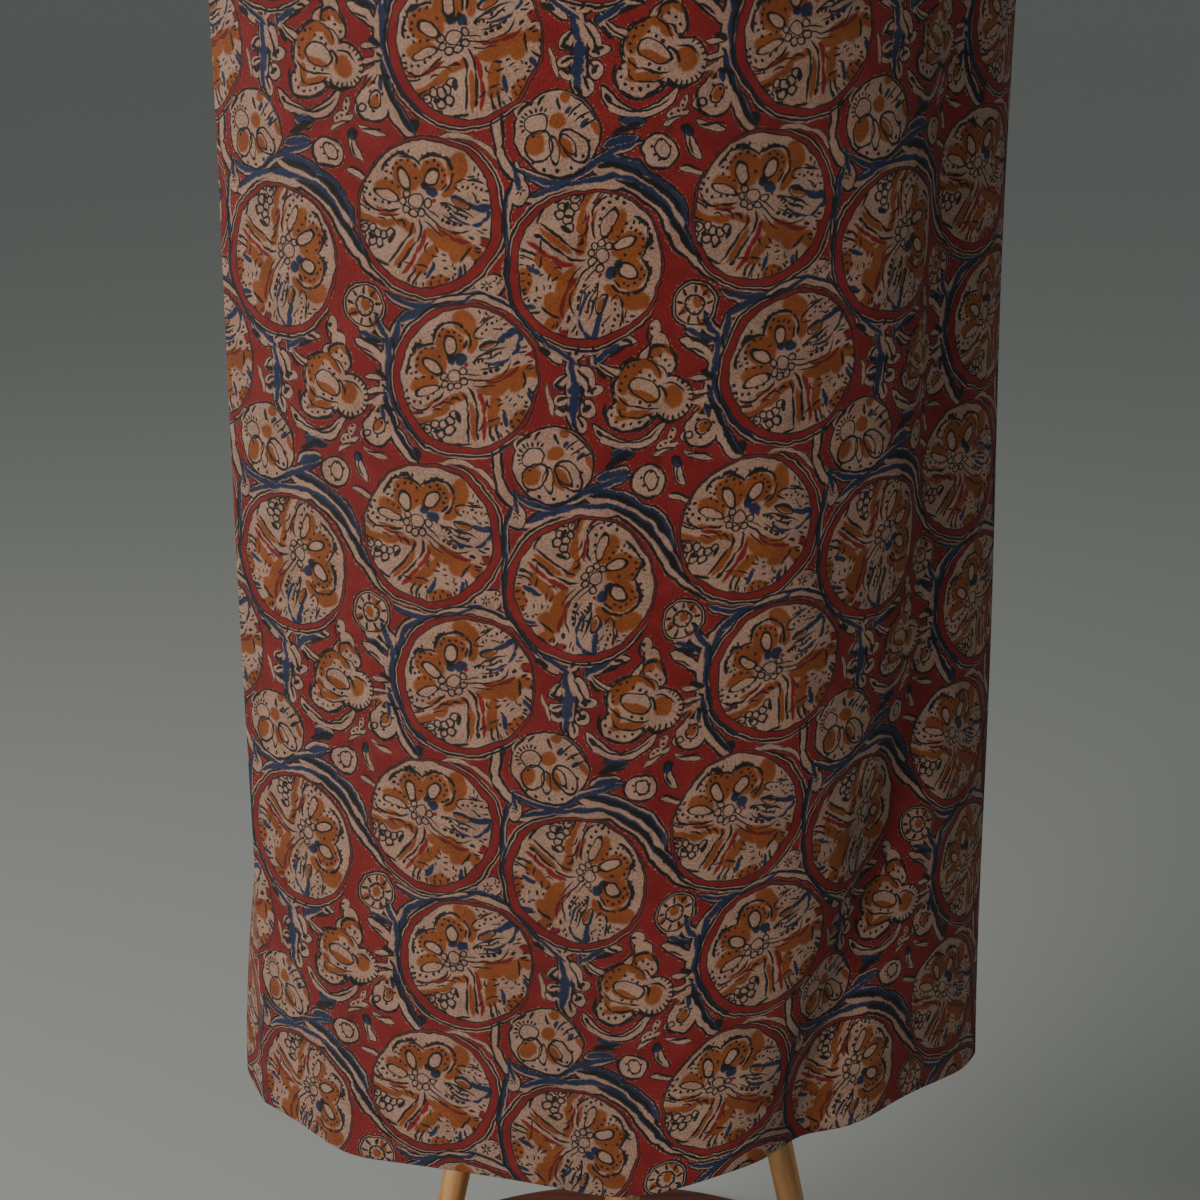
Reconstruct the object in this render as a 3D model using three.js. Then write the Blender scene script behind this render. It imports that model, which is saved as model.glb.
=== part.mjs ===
// Folded kalamkari panel hung over the bow rail of a plain wooden display stand.
// Millimetres, +Z up. The origin is on the floor under the middle of the stand.
// The panel hangs on the -Y side.

import * as THREE from 'three';

// ---------------------------------------------------------------- driving dimensions

const TOUCH = 0.3;                 // gap between pieces that meet

// Stand
const BASE_RADIUS = 316;
const BASE_THICKNESS = 22;
const BASE_EDGE = 6;               // rounding of the base's upper edge
const LEG_COUNT = 4;
const LEG_FOOT_REACH = 181;        // leg axis from the stand's middle, at the base
const LEG_TOP_REACH = 66;          // the same, under the collar
const LEG_RADIUS_FOOT = 10;
const LEG_RADIUS_TOP = 11.5;
const COLLAR_RADIUS = 90;
const COLLAR_BOTTOM = 573;
const COLLAR_THICKNESS = 30;
const COLLAR_EDGE = 5;
const POST_RADIUS = 17;
const RAIL_HEIGHT = 1238;          // middle of the bow rail and the cross bar
const RAIL_RADIUS = 11;            // of the rail's round section
const CROSS_BAR_SIDE = 26;
const CROSS_BAR_SPARE = 12;        // how far the cross bar runs past the bow's ends
const BOW_RADIUS = 242;            // of the bow rail's middle line
const BOW_CENTRE_X = -26;
const BOW_CENTRE_Y = -(CROSS_BAR_SIDE / 2 + TOUCH);

// Cloth, measured across from the front of the bow
const CLOTH_LEFT = -254;
const CLOTH_RIGHT = 301;
const SHEET_THICKNESS = 1.2;
const LAYER_PITCH = 4;             // between the middles of the two layers
const RAIL_CLEARANCE = 2.6;        // from the rail to the inner layer
const FOLD_BOTTOM = 508;           // height of the fold that ends the front drop
const BACK_END = 1018;             // height of the two cut ends behind the rail
const HEM_FLARE = 37;              // how far the front stands out at the bottom fold
const FLARE_POWER = 1.7;
const BACK_FLUTE_DEPTH = 9;
const BACK_FLUTES = 7;             // half waves across the back drop
const TROUGH_DEPTH = 10;           // of the soft trough down the right side of the front
const TROUGH_SPREAD = 24;
const TROUGH_TOP = 232;            // where the trough runs, across the cloth, at the rail
const TROUGH_LEAN = 20;            // how far it comes in by the bottom as a straight line
const TROUGH_SWEEP = 75;           // and how far more it bends in, over the last part of the drop
const FOLD_SAGS = [                // dips and rises of the bottom fold along its length
  { at: -150, depth: 5, spread: 30 },
  { at: 22, depth: 13, spread: 45 },
  { at: 200, depth: -6, spread: 40 },
  { at: 300, depth: 11, spread: 40 },
];
const SIDE_CREASE = -216;          // across the cloth, where the left side strip turns back
const STRIP_TURN = 0.85;           // how sharply that strip turns, in radians
const STRIP_TURN_FOOT = 0.35;      // the same at the bottom fold

// Mesh steps
const STEPS_STRIP = 3;
const STEPS_ACROSS = 24;
const STEPS_FRONT = 14;
const STEPS_ROUND_RAIL = 8;
const STEPS_BACK = 5;
const STEPS_FOLD = 4;
const ROUND_SIDES = 20;
const BASE_SIDES = 64;
const BOW_STEPS = 36;
const EDGE_STEPS = 4;

// ---------------------------------------------------------------- finishes

const paleWood = new THREE.MeshStandardMaterial({ color: 0xb98a58, roughness: 0.55, metalness: 0 });
const darkWood = new THREE.MeshStandardMaterial({ color: 0x4a2417, roughness: 0.45, metalness: 0 });
const printedCotton = new THREE.MeshStandardMaterial({ color: 0xa4503a, roughness: 0.9, metalness: 0 });

// ---------------------------------------------------------------- shape helpers

function smoothstep(low, high, value) {
  const share = Math.min(Math.max((value - low) / (high - low), 0), 1);
  return share * share * (3 - 2 * share);
}

// A turned disc from z = 0 to its thickness, with its upper edge rounded, and the lower one too if asked.
function turnedDisc(radius, thickness, edge, bothEdges, sides) {
  const profile = [new THREE.Vector2(0, 0)];
  if (bothEdges) {
    for (let i = 0; i <= EDGE_STEPS; i++) {
      const angle = -Math.PI / 2 + (i / EDGE_STEPS) * Math.PI / 2;
      profile.push(new THREE.Vector2(radius - edge + edge * Math.cos(angle), edge + edge * Math.sin(angle)));
    }
  } else {
    profile.push(new THREE.Vector2(radius, 0));
  }
  for (let i = 0; i <= EDGE_STEPS; i++) {
    const angle = (i / EDGE_STEPS) * Math.PI / 2;
    const x = radius - edge + edge * Math.cos(angle);
    profile.push(new THREE.Vector2(x, thickness - edge + edge * Math.sin(angle)));
  }
  profile.push(new THREE.Vector2(0, thickness));
  return new THREE.LatheGeometry(profile, sides).rotateX(Math.PI / 2);
}

// A closed surface through equal rings of points, with a flat fan at each end. Rings run counter-clockwise
// when seen from the last ring.
function loftedRings(rings) {
  const sides = rings[0].length;
  const points = rings.flat();
  const faces = [];
  for (let ring = 0; ring + 1 < rings.length; ring++) {
    for (let side = 0; side < sides; side++) {
      const a = ring * sides + side;
      const b = ring * sides + (side + 1) % sides;
      faces.push(a, b, b + sides, a, b + sides, a + sides);
    }
  }
  const last = (rings.length - 1) * sides;
  for (let side = 1; side + 1 < sides; side++) {
    faces.push(0, side + 1, side);
    faces.push(last, last + side, last + side + 1);
  }
  return indexedGeometry(points, faces);
}

function indexedGeometry(points, faces) {
  const geometry = new THREE.BufferGeometry();
  geometry.setAttribute('position', new THREE.Float32BufferAttribute(points.flatMap((p) => p.toArray()), 3));
  geometry.setIndex(faces);
  geometry.computeVertexNormals();
  return geometry;
}

// A round level ring of points at a height.
function levelRing(centreX, centreY, z, radius) {
  return Array.from({ length: ROUND_SIDES }, (_, side) => {
    const angle = (side / ROUND_SIDES) * 2 * Math.PI;
    return new THREE.Vector3(centreX + radius * Math.cos(angle), centreY + radius * Math.sin(angle), z);
  });
}

// ---------------------------------------------------------------- stand

function makeBase() {
  const disc = turnedDisc(BASE_RADIUS, BASE_THICKNESS, BASE_EDGE, false, BASE_SIDES);
  const base = new THREE.Mesh(disc, darkWood);
  base.name = 'base_board';
  return base;
}

// A splayed leg with level ends, so that it stands flat on the base and flat under the collar.
function makeLeg(index) {
  const direction = (index / LEG_COUNT) * 2 * Math.PI;
  const foot = LEG_FOOT_REACH;
  const top = LEG_TOP_REACH;
  const rings = [
    levelRing(foot * Math.cos(direction), foot * Math.sin(direction), BASE_THICKNESS + TOUCH, LEG_RADIUS_FOOT),
    levelRing(top * Math.cos(direction), top * Math.sin(direction), COLLAR_BOTTOM - TOUCH, LEG_RADIUS_TOP),
  ];
  const leg = new THREE.Mesh(loftedRings(rings), paleWood);
  leg.name = `leg_${index + 1}`;
  return leg;
}

function makeCollar() {
  const disc = turnedDisc(COLLAR_RADIUS, COLLAR_THICKNESS, COLLAR_EDGE, true, BASE_SIDES);
  const collar = new THREE.Mesh(disc, paleWood);
  collar.name = 'collar';
  collar.position.z = COLLAR_BOTTOM;
  return collar;
}

function makePost() {
  const bottom = COLLAR_BOTTOM + COLLAR_THICKNESS + TOUCH;
  const top = RAIL_HEIGHT - CROSS_BAR_SIDE / 2 - TOUCH;
  const dowel = new THREE.CylinderGeometry(POST_RADIUS, POST_RADIUS, top - bottom, ROUND_SIDES);
  const post = new THREE.Mesh(dowel, paleWood);
  post.name = 'post';
  post.rotation.x = Math.PI / 2;
  post.position.z = (top + bottom) / 2;
  return post;
}

function makeCrossBar() {
  const length = 2 * (BOW_RADIUS + RAIL_RADIUS + CROSS_BAR_SPARE);
  const bar = new THREE.Mesh(new THREE.BoxGeometry(length, CROSS_BAR_SIDE, CROSS_BAR_SIDE), paleWood);
  bar.name = 'cross_bar';
  bar.position.set(BOW_CENTRE_X, 0, RAIL_HEIGHT);
  return bar;
}

// The half-round rail that the cloth hangs over, from one end of the cross bar round the front to the other.
function makeBowRail() {
  const rings = [];
  for (let step = 0; step <= BOW_STEPS; step++) {
    const turn = Math.PI / 2 - (step / BOW_STEPS) * Math.PI;
    const ring = [];
    for (let side = 0; side < ROUND_SIDES; side++) {
      const angle = (side / ROUND_SIDES) * 2 * Math.PI;
      const reach = BOW_RADIUS + RAIL_RADIUS * Math.cos(angle);
      const z = RAIL_HEIGHT + RAIL_RADIUS * Math.sin(angle);
      const x = BOW_CENTRE_X + reach * Math.sin(turn);
      ring.push(new THREE.Vector3(x, BOW_CENTRE_Y - reach * Math.cos(turn), z));
    }
    rings.push(ring);
  }
  const rail = new THREE.Mesh(loftedRings(rings), paleWood);
  rail.name = 'bow_rail';
  return rail;
}

// ---------------------------------------------------------------- cloth

// How far the front stands out beyond the rail's own bow, at a share of the drop from 0 at the rail to 1.
function frontFlare(share) {
  return HEM_FLARE * share ** FLARE_POWER;
}

// The soft trough down the right side, at a place across the cloth and a share of the drop.
function frontTrough(across, share) {
  const middle = TROUGH_TOP - TROUGH_LEAN * share - TROUGH_SWEEP * smoothstep(0.6, 1, share);
  return -TROUGH_DEPTH * Math.exp(-(((across - middle) / TROUGH_SPREAD) ** 2)) * smoothstep(0.02, 0.2, share);
}

// How far the bottom fold hangs below its mean height, at a place across the cloth.
function foldSag(across) {
  return FOLD_SAGS.reduce((sum, sag) => sum + sag.depth * Math.exp(-(((across - sag.at) / sag.spread) ** 2)), 0);
}

// How far the left side strip is turned back from the front, in radians.
function stripTurn(share) {
  const foot = smoothstep(0.65, 1, share);
  return smoothstep(0.01, 0.16, share) * (STRIP_TURN + (STRIP_TURN_FOOT - STRIP_TURN) * foot);
}

// The cloth's path in the upright plane, from the back end of the outer layer over the rail, down the front,
// round the bottom fold, and back inside. Each stop gives a height, how far it lies outside the rail's middle
// line, and which part of the hang it belongs to.
function clothPath() {
  const inner = RAIL_RADIUS + RAIL_CLEARANCE + SHEET_THICKNESS / 2;
  const outer = inner + LAYER_PITCH;
  const foldRadius = LAYER_PITCH / 2;
  const foldCentre = FOLD_BOTTOM + foldRadius + SHEET_THICKNESS / 2;
  const drop = RAIL_HEIGHT - foldCentre;
  const layer = (offset, depth) => {
    const stops = [];
    for (let i = 0; i < STEPS_BACK; i++) {
      const z = BACK_END + (RAIL_HEIGHT - BACK_END) * (i / STEPS_BACK);
      stops.push({ z, out: -offset, share: 0, back: 1 - i / STEPS_BACK });
    }
    for (let i = 0; i < STEPS_ROUND_RAIL; i++) {
      const angle = Math.PI * (1 - i / STEPS_ROUND_RAIL);
      const z = RAIL_HEIGHT + offset * Math.sin(angle);
      stops.push({ z, out: offset * Math.cos(angle), share: 0, back: 0 });
    }
    for (let i = 0; i <= STEPS_FRONT; i++) {
      const share = i / STEPS_FRONT;
      stops.push({ z: RAIL_HEIGHT - drop * share, out: outer - depth, share, back: 0 });
    }
    return stops;
  };
  const fold = [];
  for (let i = 1; i < STEPS_FOLD; i++) {
    const angle = Math.PI * (i / STEPS_FOLD);
    const out = outer - foldRadius + foldRadius * Math.cos(angle);
    fold.push({ z: foldCentre - foldRadius * Math.sin(angle), out, share: 1, back: 0 });
  }
  return [...layer(outer, 0), ...fold, ...layer(inner, LAYER_PITCH).reverse()];
}

// A point of the cloth's middle surface, at a stop of its path and a place across it.
function clothPoint(stop, across) {
  const hang = BOW_RADIUS + RAIL_RADIUS + RAIL_CLEARANCE + LAYER_PITCH + frontFlare(stop.share);
  const phase = (across - CLOTH_LEFT) / (CLOTH_RIGHT - CLOTH_LEFT);
  const flute = BACK_FLUTE_DEPTH * stop.back * Math.sin(BACK_FLUTES * Math.PI * phase);
  const reach = BOW_RADIUS + stop.out + frontFlare(stop.share) + frontTrough(across, stop.share) + flute;
  const onBow = (place) => new THREE.Vector2(reach * Math.sin(place / hang), -reach * Math.cos(place / hang));
  const point = onBow(across);
  if (across < SIDE_CREASE) {
    point.rotateAround(onBow(SIDE_CREASE), -stripTurn(stop.share));
  }
  const z = stop.z - foldSag(across) * smoothstep(0.3, 1, stop.share);
  return new THREE.Vector3(BOW_CENTRE_X + point.x, BOW_CENTRE_Y + point.y, z);
}

// A grid of points given a thickness: the grid moved half of it each way along its normals, closed at the rim.
function thickSheet(grid, thickness) {
  const rows = grid.length;
  const columns = grid[0].length;
  const held = (index, count) => Math.min(Math.max(index, 0), count - 1);
  const at = (row, column) => grid[held(row, rows)][held(column, columns)];
  const upper = [];
  const lower = [];
  for (let row = 0; row < rows; row++) {
    for (let column = 0; column < columns; column++) {
      const along = at(row + 1, column).clone().sub(at(row - 1, column));
      const across = at(row, column + 1).clone().sub(at(row, column - 1));
      const offset = along.cross(across).setLength(thickness / 2);
      upper.push(grid[row][column].clone().add(offset));
      lower.push(grid[row][column].clone().sub(offset));
    }
  }
  const under = rows * columns;
  const faces = [];
  const quad = (a, b, c, d) => faces.push(a, b, c, a, c, d);
  const rim = (a, b) => quad(a, b, b + under, a + under);
  for (let row = 0; row + 1 < rows; row++) {
    for (let column = 0; column + 1 < columns; column++) {
      const a = row * columns + column;
      quad(a, a + columns, a + columns + 1, a + 1);
      quad(a + under, a + 1 + under, a + columns + 1 + under, a + columns + under);
    }
    rim((row + 1) * columns, row * columns);
    rim(row * columns + columns - 1, (row + 1) * columns + columns - 1);
  }
  for (let column = 0; column + 1 < columns; column++) {
    rim(column, column + 1);
    rim((rows - 1) * columns + column + 1, (rows - 1) * columns + column);
  }
  return indexedGeometry([...upper, ...lower], faces);
}

// Places across the cloth where its points lie, with one on the side crease.
function clothPlaces() {
  const spread = (from, to, steps) => Array.from({ length: steps }, (_, i) => from + (to - from) * (i / steps));
  const strip = spread(CLOTH_LEFT, SIDE_CREASE, STEPS_STRIP);
  return [...strip, ...spread(SIDE_CREASE, CLOTH_RIGHT, STEPS_ACROSS), CLOTH_RIGHT];
}

function makeCloth() {
  const places = clothPlaces();
  const grid = clothPath().map((stop) => places.map((across) => clothPoint(stop, across)));
  const cloth = new THREE.Mesh(thickSheet(grid, SHEET_THICKNESS), printedCotton);
  cloth.name = 'kalamkari_cloth';
  return cloth;
}

// ---------------------------------------------------------------- the whole object

const panel = new THREE.Group();
panel.add(makeBase(), makeCollar(), makePost(), makeCrossBar(), makeBowRail(), makeCloth());
for (let index = 0; index < LEG_COUNT; index++) {
  panel.add(makeLeg(index));
}

export default panel;
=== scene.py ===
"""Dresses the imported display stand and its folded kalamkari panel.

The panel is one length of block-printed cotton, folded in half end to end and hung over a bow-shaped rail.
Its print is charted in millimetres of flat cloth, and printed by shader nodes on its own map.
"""

from __future__ import annotations

import logging
import math
from dataclasses import dataclass, fields, replace
from enum import Enum
from typing import Callable, Sequence, Union

import bpy
import numpy as np
from mathutils import Euler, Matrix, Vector

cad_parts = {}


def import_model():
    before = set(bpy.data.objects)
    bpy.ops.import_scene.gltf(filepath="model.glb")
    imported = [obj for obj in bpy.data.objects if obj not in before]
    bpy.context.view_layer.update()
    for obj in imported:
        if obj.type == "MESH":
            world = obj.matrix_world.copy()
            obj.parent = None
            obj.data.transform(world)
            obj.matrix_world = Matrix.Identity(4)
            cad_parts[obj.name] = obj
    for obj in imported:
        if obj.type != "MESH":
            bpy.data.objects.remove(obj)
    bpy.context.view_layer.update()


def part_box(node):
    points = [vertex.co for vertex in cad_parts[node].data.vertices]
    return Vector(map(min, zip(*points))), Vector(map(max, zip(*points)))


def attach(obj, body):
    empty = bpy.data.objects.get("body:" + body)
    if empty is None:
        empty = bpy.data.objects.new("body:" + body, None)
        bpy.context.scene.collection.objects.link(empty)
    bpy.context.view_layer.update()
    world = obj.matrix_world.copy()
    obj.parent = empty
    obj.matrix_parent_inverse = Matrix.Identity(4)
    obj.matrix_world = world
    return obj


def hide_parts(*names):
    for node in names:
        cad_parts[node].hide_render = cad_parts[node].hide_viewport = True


LOG = logging.getLogger("kalamkari_panel")
MILLIMETRES = 1000.0  # in one metre
QUARTERS = ((-1, -1), (1, -1), (-1, 1), (1, 1))

Colour = tuple[float, float, float]
Point = tuple[float, float, float]
Place = tuple[float, float]
Socket = bpy.types.NodeSocket
Material = bpy.types.Material
Piece = bpy.types.Object
Value = Union[Socket, float, Sequence[float]]
Box = tuple[Vector, Vector]


# ---------------------------------------------------------------- printing shapes


@dataclass(frozen=True)
class Stroke:
    """A drawn line that tapers at both ends, in millimetres of flat cloth.

    bend is how far its middle stands to the left of the straight way from its start to its end.
    """

    x0: float
    y0: float
    x1: float
    y1: float
    bend: float
    width: float

    def across(self) -> tuple[Sequence[float], Sequence[float], float]:
        """Works out the stroke's own two coordinates.

        Returns:
            The (x, y, 1) factors of the place along it, from -1 to 1, those of the place beside it in half
            widths, and the bend in half widths.
        """
        dx, dy = self.x1 - self.x0, self.y1 - self.y0
        length = math.hypot(dx, dy)
        mx, my = (self.x0 + self.x1) / 2, (self.y0 + self.y1) / 2
        half, wide = length / 2, self.width / 2
        tx, ty = dx / length, dy / length
        along = (tx / half, ty / half, -(tx * mx + ty * my) / half)
        beside = (-ty / wide, tx / wide, -(-ty * mx + tx * my + self.bend) / wide)
        return along, beside, self.bend / wide

    def reach(self) -> tuple[float, float, float, float]:
        """Returns the middle of a box round the stroke, and half its sizes."""
        spare = abs(self.bend) + self.width
        half_x, half_y = abs(self.x1 - self.x0) / 2 + spare, abs(self.y1 - self.y0) / 2 + spare
        return (self.x0 + self.x1) / 2, (self.y0 + self.y1) / 2, half_x, half_y

    def moved(self, dx: float, dy: float) -> "Stroke":
        """Returns the same stroke elsewhere."""
        return replace(self, x0=self.x0 + dx, x1=self.x1 + dx, y0=self.y0 + dy, y1=self.y1 + dy)


@dataclass(frozen=True)
class Oval:
    """A filled ellipse, or its outline if it has a width, in millimetres of flat cloth and degrees."""

    x: float
    y: float
    rx: float
    ry: float
    turn: float = 0.0
    width: float = 0.0

    def axes(self) -> tuple[Sequence[float], Sequence[float]]:
        """Returns the (x, y, 1) factors of its two coordinates, whose squares add up to 1 at its rim."""
        c, s = math.cos(math.radians(self.turn)), math.sin(math.radians(self.turn))
        first = (c / self.rx, s / self.rx, -(c * self.x + s * self.y) / self.rx)
        second = (-s / self.ry, c / self.ry, -(-s * self.x + c * self.y) / self.ry)
        return first, second

    def reach(self) -> tuple[float, float, float, float]:
        """Returns the middle of a box round the oval, and half its sizes."""
        half = max(self.rx, self.ry) + self.width
        return self.x, self.y, half, half

    def moved(self, dx: float, dy: float) -> "Oval":
        """Returns the same oval elsewhere."""
        return replace(self, x=self.x + dx, y=self.y + dy)


Shape = Union[Stroke, Oval]


def dots(radius: float, *places: Place) -> list[Oval]:
    """Makes round dots of one radius at the given places."""
    return [Oval(x, y, radius, radius) for x, y in places]


def beads(radius: float, width: float, *places: Place) -> list[Oval]:
    """Makes small rings of one radius at the given places."""
    return [Oval(x, y, radius, radius, 0.0, width) for x, y in places]


def fan(
    x: float, y: float, near: float, far: float, start: float, end: float, count: int, width: float
) -> list[Stroke]:
    """Makes short strokes that stand out from a middle point.

    Args:
        x: the middle point's place across.
        y: the middle point's place along.
        near: how far from it each stroke starts.
        far: how far from it each stroke ends.
        start: the first stroke's angle in degrees.
        end: the last stroke's angle.
        count: how many there are, evenly spread.
        width: the width of each.

    Returns:
        The strokes.
    """
    made = []
    for turn in np.radians(np.linspace(start, end, count)):
        c, s = math.cos(turn), math.sin(turn)
        made.append(Stroke(x + near * c, y + near * s, x + far * c, y + far * s, 0.0, width))
    return made


def chain(width: float, bends: Sequence[float], *places: Place, spare: float = 0.12) -> list[Stroke]:
    """Makes strokes of one width from each place to the next, with one bend for each.

    Args:
        width: the width of each.
        bends: the bend of each.
        places: where each one starts, and where the last one ends.
        spare: how far each runs on past both of its places, as a share of the way between them, so that the
            tapered ends overlap.

    Returns:
        The strokes.
    """
    made = []
    for (x0, y0), (x1, y1), bend in zip(places, places[1:], bends):
        dx, dy = x1 - x0, y1 - y0
        longer = (1 + 2 * spare) ** 2
        back = bend * (1 - longer) / math.hypot(dx, dy)
        side_x, side_y = -dy * back, dx * back
        start = (x0 - spare * dx + side_x, y0 - spare * dy + side_y)
        end = (x1 + spare * dx + side_x, y1 + spare * dy + side_y)
        made.append(Stroke(*start, *end, bend * longer, width))
    return made


@dataclass(frozen=True)
class Window:
    """A rectangle of a chart, whose shapes are printed by nodes of their own. Lengths are in millimetres."""

    x: float
    y: float
    half_x: float
    half_y: float
    spare: float = 3.0

    def holds(self, shape: Shape) -> bool:
        """Tells whether a shape shows in the window.

        Args:
            shape: the shape.

        Returns:
            Whether its box comes nearer than the spare.
        """
        x, y, half_x, half_y = shape.reach()
        return (
            abs(x - self.x) < self.half_x + half_x + self.spare
            and abs(y - self.y) < self.half_y + half_y + self.spare
        )

    def nearest(self, shape: Shape, tile: Place) -> Shape:
        """Moves a shape by whole repeats.

        Args:
            shape: the shape.
            tile: the size of a repeat.

        Returns:
            Its copy nearest the window's middle.
        """
        x, y, _, _ = shape.reach()
        wide, high = tile
        return shape.moved(wide * round((self.x - x) / wide), high * round((self.y - y) / high))


@dataclass(frozen=True)
class Chart:
    """What each dye prints, and what the resist keeps free of red or of ochre."""

    black: Sequence[Shape]
    blue: Sequence[Shape]
    ochre: Sequence[Shape]
    red: Sequence[Shape]
    resist: Sequence[Shape]

    def within(self, window: Window, tile: Union[Place, None] = None) -> "Chart":
        """Picks the shapes that show in a window.

        Args:
            window: the window.
            tile: the size of a repeat, if the chart repeats.

        Returns:
            A chart of those shapes only, each of them the copy nearest the window.
        """
        picked = []
        for part in fields(self):
            shapes = getattr(self, part.name)
            near = [window.nearest(shape, tile) for shape in shapes] if tile else shapes
            picked.append([shape for shape in near if window.holds(shape)])
        return Chart(*picked)


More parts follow.
